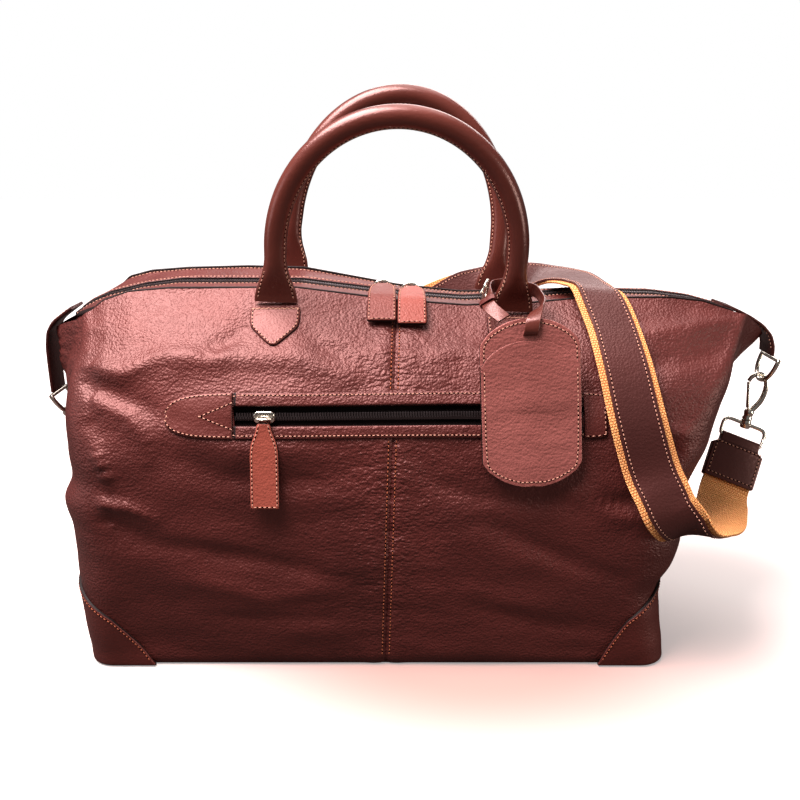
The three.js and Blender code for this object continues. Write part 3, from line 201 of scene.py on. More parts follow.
# Soft folds of the filled leather: side, route in x and z, height and half width
foldLook = {"rise": 1.35, "sink": 1.15, "narrow": 0.85, "broadScale": 0.013, "broadHeight": 2.2,
            "fineScale": (0.02, 0.02, 0.045), "fineHeight": 1.1, "footFade": 14, "deepest": 2, "easing": 1.2}
faceFolds = [
    (0, [(-225, 251), (-219, 232), (-185, 227), (-154, 239), (-116, 237)], 3.2, 9),
    (0, [(-226, 243), (-208, 218), (-184, 209), (-148, 199)], -3.0, 11),
    (0, [(-167, 226), (-133, 235), (-105, 238), (-64, 238), (-29, 226)], 2.4, 12),
    (0, [(-95, 261), (-110, 248), (-133, 236)], -2.2, 8),
    (0, [(-58, 258), (-40, 244), (-15, 236)], -2.0, 9),
    (0, [(-231, 209), (-202, 209), (-178, 200), (-168, 185), (-166, 169)], 2.6, 8),
    (0, [(-231, 197), (-205, 193), (-186, 182)], -1.8, 10),
    (0, [(-226, 176), (-214, 167), (-206, 149)], 3.6, 6),
    (0, [(-231, 160), (-219, 148)], -2.6, 7),
    (0, [(-231, 131), (-204, 136), (-181, 133), (-164, 124)], 2.8, 6),
    (0, [(-230, 119), (-200, 122), (-170, 111)], -2.8, 8),
    (0, [(-152, 172), (-115, 157), (-81, 151), (-45, 153), (-10, 165)], -2.0, 11),
    (0, [(-150, 188), (-110, 178), (-60, 175), (-20, 178)], 1.5, 11),
    (0, [(-192, 106), (-136, 101), (-83, 89), (-30, 78)], -2.6, 9),
    (0, [(-143, 75), (-83, 61), (-30, 67)], 1.6, 9),
    (0, [(-136, 44), (-65, 42), (-20, 40)], -1.6, 8),
    (0, [(150, 252), (176, 249), (223, 255), (273, 259)], 2.2, 9),
    (0, [(160, 232), (191, 233), (231, 238), (268, 245)], -2.8, 11),
    (0, [(195, 178), (215, 174), (240, 166)], -2.6, 7),
    (0, [(195, 190), (220, 186), (242, 182)], 1.8, 7),
    (0, [(150, 137), (175, 136), (224, 141)], -2.4, 8),
    (0, [(129, 148), (173, 127), (219, 116)], 1.6, 9),
    (0, [(73, 123), (132, 93), (193, 70)], -2.2, 10),
    (0, [(52, 58), (120, 38), (166, 32)], -1.4, 9),
    (0, [(21, 163), (64, 141), (129, 137)], -1.8, 9),
    (0, [(30, 236), (60, 240), (95, 236)], 2.0, 11),
    (2, [(-225, 251), (-190, 228), (-130, 234), (-60, 240)], 2.6, 10),
    (2, [(-228, 176), (-190, 165), (-150, 168), (-90, 150)], -2.8, 10),
    (2, [(-200, 120), (-130, 104), (-60, 92), (20, 96)], -2.2, 11),
    (2, [(-150, 60), (-60, 48), (60, 52)], 1.6, 10),
    (2, [(273, 255), (220, 238), (150, 240), (60, 232)], 2.4, 10),
    (2, [(240, 168), (190, 176), (120, 160), (40, 168)], -2.6, 10),
    (2, [(215, 110), (150, 96), (70, 110)], -2.2, 9),
    (2, [(180, 50), (110, 42), (30, 46)], 1.4, 9),
]
# The same for the ends, with the route in y and z, as shares of the end's usual width and height
endWidth, endHeight = 170, 250
endFolds = [
    (False, [(0, 243), (0, 226), (0, 208), (0, 190), (0, 168)], 8.0, 24),
    (True, [(-60, 236), (-30, 214), (0, 206), (30, 216), (58, 236)], -3.4, 9),
    (True, [(-70, 160), (-20, 150), (30, 156), (72, 166)], -2.6, 9),
    (True, [(-66, 110), (0, 98), (66, 108)], 2.4, 9),
    (True, [(-60, 60), (0, 50), (60, 62)], -1.8, 10),
    (False, [(-58, 238), (-24, 214), (0, 208), (30, 218), (56, 240)], -3.0, 9),
    (False, [(-74, 178), (-30, 160), (20, 158), (70, 172)], -2.6, 9),
    (False, [(-70, 120), (0, 104), (70, 118)], 2.2, 9),
    (False, [(-64, 62), (0, 52), (64, 60)], -1.6, 10),
]

def evenRoute(route, step=6.0):
    route = np.asarray(route, float)
    lengths = lengthsAlong(route)
    at = np.linspace(0, lengths[-1], max(2, int(lengths[-1] / step)))
    return routeAt(route, lengths, at), at / lengths[-1]

# Every fold as points in space, with the share of its length at each
def foldPoints():
    result = []
    for side, route, height, width in faceFolds:
        flat, share = evenRoute(route)
        place, _ = baseOfFace(side, flat[:, 0], flat[:, 1])
        height = height * foldLook["rise" if height > 0 else "sink"]
        result.append((place, share, height, width * foldLook["narrow"]))
    for goesRight, route, height, width in endFolds:
        flat, share = evenRoute(route)
        place = endPoint(goesRight, 0.5 + flat[:, 0] / endWidth, flat[:, 1] / endHeight)
        result.append((place, share, height, width * foldLook["narrow"]))
    return result

foldTable = foldPoints()

# How far the leather stands out of or into its plain shape: folds that fade at both ends, and soft unevenness
def reliefAt(points):
    flat = points.reshape(-1, 3)
    total = np.zeros(len(flat))
    for place, share, height, width in foldTable:
        reach = np.linalg.norm(place[-1] - place[0]) / 2 + 60
        near = np.linalg.norm(flat - place.mean(0), axis=1) < reach
        if near.any():
            apart = np.linalg.norm(flat[near][:, None] - place[None], axis=2)
            fade = np.sin(np.clip(share[apart.argmin(1)], 0.04, 0.96) * math.pi) ** 0.5
            total[near] += height * fade * np.exp(-(apart.min(1) / width) ** 2)
    broad = [noise.noise(Vector(p)) for p in flat * foldLook["broadScale"]]
    fine = [noise.noise(Vector(p)) for p in flat * foldLook["fineScale"] + 7]
    soft = np.array(broad) * foldLook["broadHeight"] + np.array(fine) * foldLook["fineHeight"]
    total = (total + soft) * smooth(0, foldLook["footFade"], flat[:, 2])
    deepest, easing = foldLook["deepest"], foldLook["easing"]
    eased = -deepest - easing * np.tanh((-deepest - total) / easing)
    return np.where(total < -deepest, eased, total).reshape(points.shape[:-1])

# Colours are given as on screen and turned linear here
def linear(code):
    values = [int(code[i:i + 2], 16) / 255 for i in (1, 3, 5)]
    return [v / 12.92 if v <= 0.04045 else ((v + 0.055) / 1.055) ** 2.4 for v in values] + [1.0]

# Gives a node its inputs: a socket is linked, anything else is set
def setInputs(tree, node, inputs):
    for key, value in inputs.items():
        if isinstance(value, bpy.types.NodeSocket):
            tree.links.new(value, node.inputs[key])
        else:
            node.inputs[key].default_value = value

def addNode(tree, kind, inputs=None, **settings):
    node = tree.nodes.new(kind)
    for key, value in settings.items():
        setattr(node, key, value)
    setInputs(tree, node, inputs or {})
    return node

def newMaterial(name):
    material = bpy.data.materials.new(name)
    material.use_nodes = True
    return material, material.node_tree, material.node_tree.nodes["Principled BSDF"]

# Vegetable-tanned cowhide with a waxed finish: mottled colour, pebbled grain, stretch wrinkles
def leatherMaterial(name, look):
    material, tree, shader = newMaterial(name)
    place = addNode(tree, "ShaderNodeTexCoord").outputs["Object"]
    cloud = addNode(tree, "ShaderNodeTexNoise", {
        "Vector": place, "Scale": look["mottleScale"], "Detail": 4.0, "Roughness": 0.6})
    colour = addNode(tree, "ShaderNodeMix", {
        0: cloud.outputs["Fac"], 6: linear(look["dark"]), 7: linear(look["light"])}, data_type="RGBA")
    cells = addNode(tree, "ShaderNodeTexVoronoi", {
        "Vector": place, "Scale": look["grainScale"], "Smoothness": 0.5}, feature="SMOOTH_F1")
    fine = addNode(tree, "ShaderNodeTexNoise", {
        "Vector": place, "Scale": look["grainScale"] * 2.2, "Detail": 3.0})
    grain = addNode(tree, "ShaderNodeMath", {
        0: fine.outputs["Fac"], 1: 0.45, 2: cells.outputs["Distance"]}, operation="MULTIPLY_ADD")
    squeeze = addNode(tree, "ShaderNodeMapping", {"Vector": place, "Scale": look["wrinkleSqueeze"]})
    wrinkle = addNode(tree, "ShaderNodeTexNoise", {
        "Vector": squeeze.outputs[0], "Scale": look["wrinkleScale"], "Detail": 2.5, "Roughness": 0.5,
        "Distortion": 0.3})
    crease = addNode(tree, "ShaderNodeTexVoronoi", {
        "Vector": squeeze.outputs[0], "Scale": look["grainScale"] * 0.42, "Smoothness": 0.5},
        feature="SMOOTH_F1")
    pull = addNode(tree, "ShaderNodeAttribute", attribute_name="pull")
    strength = addNode(tree, "ShaderNodeMath", {
        0: pull.outputs["Fac"], 1: look["wrinkleNear"], 2: look["wrinkleFar"]}, operation="MULTIPLY_ADD")
    bumpWide = addNode(tree, "ShaderNodeBump", {
        "Height": wrinkle.outputs["Fac"], "Distance": 0.012, "Strength": strength.outputs[0]})
    bumpCrease = addNode(tree, "ShaderNodeBump", {
        "Height": crease.outputs["Distance"], "Distance": 0.0022, "Strength": strength.outputs[0],
        "Normal": bumpWide.outputs[0]}, invert=True)
    bump = addNode(tree, "ShaderNodeBump", {
        "Height": grain.outputs[0], "Distance": 0.0006, "Strength": look["grain"],
        "Normal": bumpCrease.outputs[0]}, invert=True)
    worn = addNode(tree, "ShaderNodeMapRange", {
        "Value": cloud.outputs["Fac"], "To Min": look["roughness"] - 0.07,
        "To Max": look["roughness"] + 0.07})
    setInputs(tree, shader, {
        "Base Color": colour.outputs[2], "Roughness": worn.outputs[0], "Normal": bump.outputs[0],
        "Specular IOR Level": look["gloss"], "Specular Tint": linear("#ffc4be"),
        "Coat Weight": look["coat"], "Coat Roughness": 0.3})
    return material

def plainMaterial(name, colour, roughness, metallic=0.0, gloss=0.5):
    material, tree, shader = newMaterial(name)
    setInputs(tree, shader, {"Base Color": linear(colour), "Roughness": roughness, "Metallic": metallic,
                             "Specular IOR Level": gloss})
    return material

# Nickel-plated steel, lightly brushed by use, and the plated brass of zip teeth
def nickelMaterial(name, colour, roughness):
    material = plainMaterial(name, colour, roughness, 1.0)
    tree = material.node_tree
    place = addNode(tree, "ShaderNodeTexCoord").outputs["Object"]
    smear = addNode(tree, "ShaderNodeTexNoise", {"Vector": place, "Scale": 160.0, "Detail": 3.0})
    worn = addNode(tree, "ShaderNodeMapRange", {
        "Value": smear.outputs["Fac"], "To Min": roughness - 0.08, "To Max": roughness + 0.1})
    setInputs(tree, tree.nodes["Principled BSDF"], {"Roughness": worn.outputs[0]})
    return material

# Cotton webbing in a basket weave: u runs across in millimetres and v along, and so does the yarn's width
def webbingMaterial(name, look):
    material, tree, shader = newMaterial(name)
    place = addNode(tree, "ShaderNodeUVMap", uv_map="cloth").outputs[0]
    weave = addNode(tree, "ShaderNodeTexBrick", {
        "Vector": place, "Scale": 1.0, "Color1": (1, 1, 1, 1), "Color2": (0.75, 0.75, 0.75, 1),
        "Mortar": (0, 0, 0, 1), "Mortar Size": 0.5, "Mortar Smooth": 1.0, "Brick Width": look["yarn"],
        "Row Height": look["yarn"] * 0.85}, offset=0.5, squash=1.0)
    cloud = addNode(tree, "ShaderNodeTexNoise", {"Vector": place, "Scale": 0.35, "Detail": 5.0})
    colour = addNode(tree, "ShaderNodeMix", {
        0: weave.outputs["Color"], 6: linear(look["dark"]), 7: linear(look["light"])}, data_type="RGBA")
    tint = addNode(tree, "ShaderNodeMix", {
        0: 0.2, 6: colour.outputs[2], 7: cloud.outputs["Color"]}, data_type="RGBA", blend_type="MULTIPLY")
    bump = addNode(tree, "ShaderNodeBump", {
        "Height": weave.outputs["Color"], "Distance": 0.0006, "Strength": 0.8})
    setInputs(tree, shader, {"Base Color": tint.outputs[2], "Normal": bump.outputs[0], "Roughness": 0.85,
                             "Specular IOR Level": 0.2})
    return material

# Scales are cells to the metre, so 600 is a grain of under 2 mm; wrinkles differ near a seam and far from it
hideLook = {"dark": "#2e100e", "light": "#5c2521", "mottleScale": 12.0, "grainScale": 600.0, "grain": 0.75,
            "wrinkleSqueeze": (1.0, 1.0, 1.8), "wrinkleScale": 26.0, "wrinkleNear": 0.4, "wrinkleFar": 0.12,
            "roughness": 0.46, "gloss": 0.7, "coat": 0.0}
trimLook = dict(hideLook, dark="#381411", light="#5c2520", grain=0.4, wrinkleNear=0.0, wrinkleFar=0.03,
                roughness=0.45)
pullLook = dict(trimLook, dark="#4a1c16", light="#6e3028", gloss=0.5, wrinkleFar=0.05)
darkLook = dict(hideLook, dark="#200b09", light="#3a1714", grain=0.3, wrinkleNear=0.0, wrinkleFar=0.03,
                roughness=0.38, gloss=0.55)
leatherLooks = {
    "hide": ("hide_leather", hideLook),
    "trim": ("trim_leather", trimLook),
    "pull": ("pull_leather", pullLook),
    # Lighter copies of the pull leather for the right main pull and the pocket pull: painted light on the
    # same leather as the left pull
    "pullPaintedLight": ("pull_leather_painted_light", dict(pullLook, dark="#662a20", light="#90453a")),
    "pullPocketPaintedLight": ("pull_leather_pocket_painted_light", dict(pullLook, dark="#7c382d", light="#a85748")),
    # The tag is painted much lighter than the body's hide: a painted reflection of the bright floor in its
    # upright face
    "tag": ("tag_leather_painted_reflection", dict(trimLook, dark="#683732", light="#a05e58", grain=0.45, wrinkleFar=0.13,
                                roughness=0.36, gloss=0.65)),
    "dark": ("strap_leather", darkLook),
    "strip": ("strip_leather", dict(darkLook, dark="#260d0b", light="#441b18", roughness=0.42, gloss=1.0)),
    "handle": ("handle_leather", dict(darkLook, dark="#3d1a15", light="#632e25", grain=0.14, roughness=0.3,
                                      coat=0.25)),
    "cap": ("cap_leather", dict(darkLook, dark="#2c1210", light="#43201d", grain=0.08, roughness=0.33)),
}
materials = {look: leatherMaterial(*values) for look, values in leatherLooks.items()}
materials.update({
    "edge": plainMaterial("edge_paint", "#170a09", 0.6, gloss=0.2),  # dull paint on cut edges
    "threadPale": plainMaterial("thread_pale", "#bd8b78", 0.75, gloss=0.2),  # bonded polyester, faintly waxed
    "threadTan": plainMaterial("thread_tan", "#a25a3f", 0.75, gloss=0.2),
    # Dark discs for the needle holes: painted shade in the holes
    "hole": plainMaterial("needle_hole_shade", "#100605", 0.95, gloss=0.0),
    "nickel": nickelMaterial("nickel_plate", "#e6dfd2", 0.2),
    "zipTape": plainMaterial("zip_tape", "#150f0f", 0.95, gloss=0.03),  # woven polyester, matt black
    "zipTeeth": nickelMaterial("zip_teeth", "#645c5e", 0.42),
    "lining": plainMaterial("lining_cloth", "#4a3832", 0.95),  # cotton drill
    "board": plainMaterial("board_card", "#3a3330", 0.9),  # pressed fibre board
    "rope": plainMaterial("rope_core", "#b9a88c", 0.95),  # twisted jute
    "webbing": webbingMaterial("cotton_webbing", {"dark": "#c0682e", "light": "#ffbd7c", "yarn": 2.2}),
})
print("materials made")

# Puts a finished mesh on its body; a piece with a CAD node's name takes that node's place
def showPiece(name, mesh, body="bag", node=None):
    piece = bpy.data.objects.new(name, mesh)
    bpy.context.scene.collection.objects.link(piece)
    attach(piece, body)
    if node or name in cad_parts:
        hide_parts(node or name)
    return piece

def makeMesh(name, points, quads, look, body="bag", node=None, pull=None, uv=None):
    mesh = bpy.data.meshes.new(name)
    mesh.from_pydata((np.asarray(points, float).reshape(-1, 3) * mm).tolist(), [], quads)
    mesh.update()
    mesh.shade_smooth()
    mesh.set_sharp_from_angle(angle=math.radians(50))
    if pull is not None:
        mesh.attributes.new("pull", "FLOAT", "POINT").data.foreach_set("value", np.asarray(pull, np.float32))
    if uv is not None:
        layer = mesh.uv_layers.new(name="cloth")
        loops = np.zeros(len(mesh.loops), np.int32)
        mesh.loops.foreach_get("vertex_index", loops)
        layer.data.foreach_set("uv", np.asarray(uv, np.float32)[loops].ravel())
    mesh.materials.append(materials[look])
    return showPiece(name, mesh, body, node)

# A closed sheet between two like grids, open where the mask says so
def slab(name, outer, inner, look, mask=None, pull=None, **more):
    rows, columns = outer.shape[:2]
    shift = rows * columns
    quads, edges = [], {}
    for j in range(rows - 1):
        for i in range(columns - 1):
            if mask is not None and not mask[j, i]:
                continue
            low, high = j * columns + i, (j + 1) * columns + i
            quad = (low, low + 1, high + 1, high)
            quads.append(quad)
            for a, b in zip(quad, quad[1:] + quad[:1]):
                if (b, a) in edges:
                    del edges[(b, a)]
                else:
                    edges[(a, b)] = True
    sheet = quads + [tuple(shift + k for k in reversed(quad)) for quad in quads]
    sheet += [(b, a, shift + a, shift + b) for a, b in edges]
    across = np.cross(outer[1, 0] - outer[0, 0], outer[0, 1] - outer[0, 0])
    if (across * (outer[0, 0] - inner[0, 0])).sum() <= 0:
        sheet = [tuple(reversed(quad)) for quad in sheet]
    points = np.concatenate([outer.reshape(-1, 3), inner.reshape(-1, 3)])
    if pull is not None:
        pull = np.concatenate([pull.ravel()] * 2)
    return makeMesh(name, points, sheet, look, pull=pull, **more)

# Normals of a grid of points, turned to the side that hint lies on
def gridNormals(points, hint):
    normal = unit(np.cross(np.gradient(points, axis=1), np.gradient(points, axis=0)))
    return normal * np.where((normal * hint).sum(-1, keepdims=True) > 0, 1, -1)

def outwards(points):
    hint = points.copy()
    hint[..., 0] *= 0.45
    hint[..., 2] = 0
    return unit(hint)

# Length walked along rows or columns of a grid, from its start and from its end
def walked(points, axis):
    total = np.cumsum(np.linalg.norm(np.diff(points, axis=axis), axis=2), axis=axis)
    there = np.concatenate([np.zeros_like(np.take(total, [0], axis=axis)), total], axis=axis)
    return there, np.take(there, [-1], axis=axis) - there

# Shares from 0 to 1 that crowd near both ends, so that an edge can round over
def edged(count, length, near=(0.3, 0.8, 1.5, 2.4)):
    low = [n / length for n in near]
    high = [1 - n for n in reversed(low)]
    return np.array([0.0, *low, *np.linspace(low[-1], 1 - low[-1], count)[1:-1], *high, 1.0])

# Value of a grid between its rows and columns
def sampleGrid(grid, rows, columns):
    rows, columns = np.broadcast_arrays(np.asarray(rows, float), np.asarray(columns, float))
    j = np.clip(np.floor(rows).astype(int), 0, grid.shape[0] - 2)
    i = np.clip(np.floor(columns).astype(int), 0, grid.shape[1] - 2)
    a, b = (rows - j)[..., None], (columns - i)[..., None]
    near = grid[j, i] * (1 - b) + grid[j, i + 1] * b
    far = grid[j + 1, i] * (1 - b) + grid[j + 1, i + 1] * b
    return near * (1 - a) + far * a

# Places on a laid piece at given distances in mm from its edges; negative counts from the far edge
def gridPlace(outer, axis, distance, along):
    there, _ = walked(outer, axis)
    count = np.arange(outer.shape[axis])
    result = np.zeros(len(along))
    for k, other in enumerate(along):
        line = sampleGrid(there[..., None], *((count, other) if axis == 0 else (other, count)))[:, 0]
        result[k] = np.interp(distance if distance >= 0 else line[-1] + distance, line, count)
    return result

# A leather piece laid on a grid of points, with its edges rounded over and painted
def layPiece(name, base, low, high, look, hint=None, radius=1.6, painted=True, relief=True, **more):
    normal = gridNormals(base, outwards(base) if hint is None else np.broadcast_to(hint, base.shape))
    lift = reliefAt(base) if relief else np.zeros(base.shape[:2])
    near = np.minimum(np.minimum(*walked(base, 1)), np.minimum(*walked(base, 0)))
    rise = 0.2 + 0.8 * np.sqrt(1 - (1 - np.clip(near / radius, 0, 1)) ** 2)
    outer = base + normal * (lift + low + (high - low) * rise)[..., None]
    piece = slab(name, outer, base + normal * (lift + low)[..., None], look, **more)
    if painted:
        piece.data.materials.append(materials["edge"])
        rows, columns = base.shape[:2]
        count = (rows - 1) * (columns - 1)
        index = np.zeros(len(piece.data.polygons), np.int32)
        index[2 * count:] = 1
        ring = np.ones((rows - 1, columns - 1), bool)
        ring[1:-1, 1:-1] = False
        index[:count][ring.ravel()] = 1
        piece.data.polygons.foreach_set("material_index", index)
    return outer, normal

stitchLook = {"pitch": 3.1, "thread": (2.05, 0.8, 0.7), "hole": (1.35, 1.15, 0.24), "threadLift": 0.12,
              "holeLift": 0.02}
stitchLines = {}

# Remembers a line of stitches: its route, the way its surface faces, the thread and its body
def stitch(points, normals, thread="threadPale", body="bag"):
    points = np.asarray(points, float)
    normals = np.broadcast_to(np.asarray(normals, float), points.shape)
    stitchLines.setdefault((body, thread), []).append((points, normals))

# Stitches along the bottom, top, left or right edge of a laid piece; sides names which ones
def hem(laid, sides, distance, corner=None, **more):
    outer, normal = laid
    margin = distance if corner is None else corner
    for side in sides:
        axis = 0 if side in "bt" else 1  # the grid axis along which the distance is measured
        far = side in "tr"
        ends = [0, outer.shape[axis] - 1]
        first, last = (gridPlace(outer, 1 - axis, m, ends)[int(far)] for m in (margin, -margin))
        along = np.linspace(first, last, 60)
        across = gridPlace(outer, axis, -distance if far else distance, along)
        spots = (across, along) if axis == 0 else (along, across)
        stitch(sampleGrid(outer, *spots), sampleGrid(normal, *spots), **more)

# A section carried along a route; each station has its place and the section's two directions
def framesAlong(points, widths, closed=False):
    points = np.asarray(points, float)
    widths = np.broadcast_to(np.asarray(widths, float), points.shape)
    if closed:
        along = np.roll(points, -1, 0) - np.roll(points, 1, 0)
    else:
        first, final = points[1:2] - points[:1], points[-1:] - points[-2:-1]
        along = np.concatenate([first, points[2:] - points[:-2], final])
    along = unit(along)
    w = unit(widths - along * (widths * along).sum(-1, keepdims=True))
    return points, w, np.cross(along, w), along

# Faces of a tube of rings, closed round its route or capped at both ends
def tubeFaces(count, sides, closed=False):
    quads = []
    for k in range(count if closed else count - 1):
        low, high = k * sides, (k + 1) % count * sides
        quads += [(low + i, low + (i + 1) % sides, high + (i + 1) % sides, high + i) for i in range(sides)]
    if not closed:
        quads += [tuple(reversed(range(sides))), tuple((count - 1) * sides + i for i in range(sides))]
    return quads

def sweep(name, frames, section, look, closed=False, **more):
    points, w, n, _ = frames
    section = np.asarray(section, float)
    if section.ndim == 2:
        section = np.broadcast_to(section, (len(points),) + section.shape)
    rings = points[:, None] + w[:, None] * section[..., :1] + n[:, None] * section[..., 1:]
    quads = tubeFaces(*rings.shape[:2], closed)
    x, y = section[0].T
    if (x * np.roll(y, -1) - y * np.roll(x, -1)).sum() < 0:
        quads = [tuple(reversed(quad)) for quad in quads]
    makeMesh(name, rings, quads, look, **more)
    return rings

def roundSection(a, b=None, sides=16):
    angle = np.arange(sides) * 2 * math.pi / sides
    return np.stack([a * np.cos(angle), (a if b is None else b) * np.sin(angle)], -1)

# Flat section with rounded edges, between two heights
def flatSection(half, low, high, soft):
    soft = min(soft, (high - low) / 2)
    points = []
    for x, y, start in ((half - soft, low + soft, -90), (half - soft, high - soft, 0),
                        (-half + soft, high - soft, 90), (-half + soft, low + soft, 180)):
        for k in range(4):
            angle = math.radians(start + 30 * k)
            points.append((x + soft * math.cos(angle), y + soft * math.sin(angle)))
    return np.array(points)

# The rounded spline that the CAD straps follow
def splineAt(stations, shares):
    stations = np.asarray(stations, float)
    last = len(stations) - 1
    result = []
    for share in shares:
        p = last * share
        k = min(int(p), last - 1)
        s = p - k
        p1, p2 = stations[k], stations[k + 1]
        p0 = stations[k - 1] if k > 0 else 2 * p1 - p2
        p3 = stations[k + 2] if k + 2 <= last else 2 * p2 - p1
        d = [max(np.linalg.norm(b - a) ** 0.5, 1e-4) for a, b in ((p0, p1), (p1, p2), (p2, p3))]
        t1 = ((p1 - p0) / d[0] - (p2 - p0) / (d[0] + d[1]) + (p2 - p1) / d[1]) * d[1]
        t2 = ((p2 - p1) / d[1] - (p3 - p1) / (d[1] + d[2]) + (p3 - p2) / d[2]) * d[1]
        bend, twist = -3 * p1 + 3 * p2 - 2 * t1 - t2, 2 * p1 - 2 * p2 + t1 + t2
        result.append(p1 + t1 * s + bend * s * s + twist * s ** 3)
    return np.array(result)

# Stations hold a place and the way that the strap's width points
def strapFrames(stations, count):
    stations = np.asarray(stations, float)
    shares = np.linspace(0, 1, count)
    return framesAlong(splineAt(stations[:, :3], shares), splineAt(stations[:, 3:], shares))

# A route of straight runs with its corners cut off, each round halving what is left of them
def smoothLoop(points, closed=True, rounds=3):
    points = np.asarray(points, float)
    for _ in range(rounds):
        after = np.roll(points, -1, 0)
        cut = np.stack([0.75 * points + 0.25 * after, 0.25 * points + 0.75 * after], 1)
        if closed:
            points = cut.reshape(-1, points.shape[1])
        else:
            inner = cut[:-1].reshape(-1, points.shape[1])[1:-1]
            points = np.concatenate([points[:1], inner, points[-1:]])
    return points

panelLook = {"rows": 150, "columns": 126, "endColumns": 86, "footTuck": 2.2, "footHeight": 9, "rimEase": 0.75,
             "rimDepth": 5, "middleGroove": 1.5, "endGroove": 1.2, "grooveWidth": 2.0, "swell": 0.35,
             "slotRows": (0.69, 0.736)}

# A panel of leather on its plain grid; grooves are the depths of the seams at its first and last column
def addPanel(name, base, node, grooves, slot=None):
    normal = gridNormals(base, outwards(base))
    start, end = walked(base, 1)
    low = np.clip(1 - base[..., 2] / panelLook["footHeight"], 0, 1)
    top = np.clip(1 - walked(base, 0)[1] / panelLook["rimDepth"], 0, 1)
    relief = (reliefAt(base) - panelLook["footTuck"] * low ** 2) * (1 - panelLook["rimEase"] * top)
    for distance, deep in ((start, grooves[0]), (end, grooves[1])):
        swell = panelLook["swell"] * deep * np.exp(-((distance - 9) / 5) ** 2)
        relief = relief - deep * np.exp(-(distance / panelLook["grooveWidth"]) ** 2) + swell
    outer = base + normal * relief[..., None]
    inner = base + normal * (relief - leather)[..., None]
    pull = np.exp(-start / 34) if grooves[0] else np.exp(-start / 20) + np.exp(-end / 20)
    pull = pull * smooth(0.0, 60, base[..., 2]) * (1 - 0.4 * smooth(230, 280, base[..., 2]))
    slab(name, outer, inner, "hide", mask=slot, node=node, pull=pull)

# Half of the front or back, with rows that follow the pocket's slot on the front
def faceGrid(side, goesRight):
    rows, columns = panelLook["rows"], panelLook["columns"]
    w = np.linspace(0, 1, columns)
    t = np.linspace(0, 1, rows)
    grid = np.broadcast_to(t[:, None], (rows, columns)).copy()
    if side != faceSides["front"]:
        return facePoint(side, goesRight, w[None, :], grid), None
    share = float(faceShare(0, pocketRight if goesRight else pocketLeft, pocketZipHeight)[1])
    k = int(round(share * (columns - 1)))
    w = np.interp(w, [0, w[k], 1], [0, share, 1])
    rim = facePoint(0, goesRight, w, 1.0)[:, 2]
    low = (pocketZipHeight - pocketSlot / 2) / rim
    high = (pocketZipHeight + pocketSlot / 2) / rim
    jLow, jHigh = (int(round(row * (rows - 1))) for row in panelLook["slotRows"])
    for i in range(columns):
        grid[:, i] = np.interp(t, [0, t[jLow], t[jHigh], 1], [0, low[i], high[i], 1])
    mask = np.ones((rows - 1, columns - 1), bool)
    mask[jLow:jHigh, :k] = False
    return facePoint(side, goesRight, w[None, :], grid), mask

for word, side in faceSides.items():
    for hand, goesRight in hands.items():
        base, mask = faceGrid(side, goesRight)
        addPanel(f"{word}Panel_{hand}", base, f"{word}_panel_{hand}",
                 (panelLook["middleGroove"], panelLook["endGroove"]), mask)
for hand, goesRight in hands.items():
    v = np.linspace(0, 1, panelLook["endColumns"])
    t = np.linspace(0, 1, panelLook["rows"])
    addPanel(f"gussetSkin_{hand}", endPoint(goesRight, v[None, :], t[:, None]), f"gusset_{hand}", (0.0, 0.0))
print("body panels made")

# Two rows of stitches beside the middle seam, broken by the pocket on the front
def sewMiddle(side, runs):
    rim = float(tableAt(rims[side], seamLean))
    for low, high in runs:
        z = np.linspace(low, min(high, rim - 5), 90)
        for away in (-2.7, 2.7):
            base, normal = baseOfFace(side, mix(seamFoot, seamLean, z / rim) + away, z)
            stitch(base + normal * (reliefAt(base) - 0.15)[:, None], normal, "threadTan")

sewMiddle(0, [(10, 181), (217, rimHeight)])
sewMiddle(2, [(10, rimHeight)])

# Corner patches of thick hide, folded round the bottom corners
patchLook = {"height": 66.0, "reach": 66.0, "low": 0.3, "high": 2.5, "hem": 3.4, "edgeRadius": 1.4}

def addCornerPatch(name, corner):
    def walk(direction):
        around = corner + direction * 0.004 * np.arange(141)
        return lengthsAlong(skinBase(around, np.full(141, 0.05))), around

    fine = np.r_[1, 0.992, 0.98, 0.96, np.linspace(0.93, 0.03, 24)]
    shares = np.r_[fine, 0, fine[::-1]]
    around = np.r_[np.interp(fine * patchLook["reach"], *walk(-1)), corner,
                   np.interp(fine[::-1] * patchLook["reach"], *walk(1))]
    rows = np.r_[0, 0.01, 0.03, np.linspace(0.07, 0.93, 22), 0.955, 0.975, 0.99, 1]
    top = np.maximum(2, patchLook["height"] * (1 - shares ** 1.25) ** (1 / 1.15))
    full = skinBase(around, np.ones(len(around)))[:, 2]
    base = skinBase(around[None, :], rows[:, None] * (top / full)[None, :])
    outer, normal = layPiece(name, base, patchLook["low"], patchLook["high"], "trim",
                             radius=patchLook["edgeRadius"])
    along = np.linspace(4.2, len(shares) - 1 - 4.2, 120)
    across = gridPlace(outer, 0, -patchLook["hem"], along)
    sewn = across > 0.5
    spots = across[sewn], along[sewn]
    stitch(sampleGrid(outer, *spots), sampleGrid(normal, *spots), "threadTan")

for corner, name in enumerate(("front_left", "front_right", "back_right", "back_left")):
    addCornerPatch("corner_patch_" + name, float(corner))

# Top bands from each rim to the zip; the ends are x at the zip and x at the rim
bandLook = {"ends": (-245, 285), "rimEnds": (-215, 266), "inset": 2.05, "thickness": 1.8, "zipHalf": 5.9,
            "zipTilt": 1.5, "sag": 1.2, "pipe": 0.85}

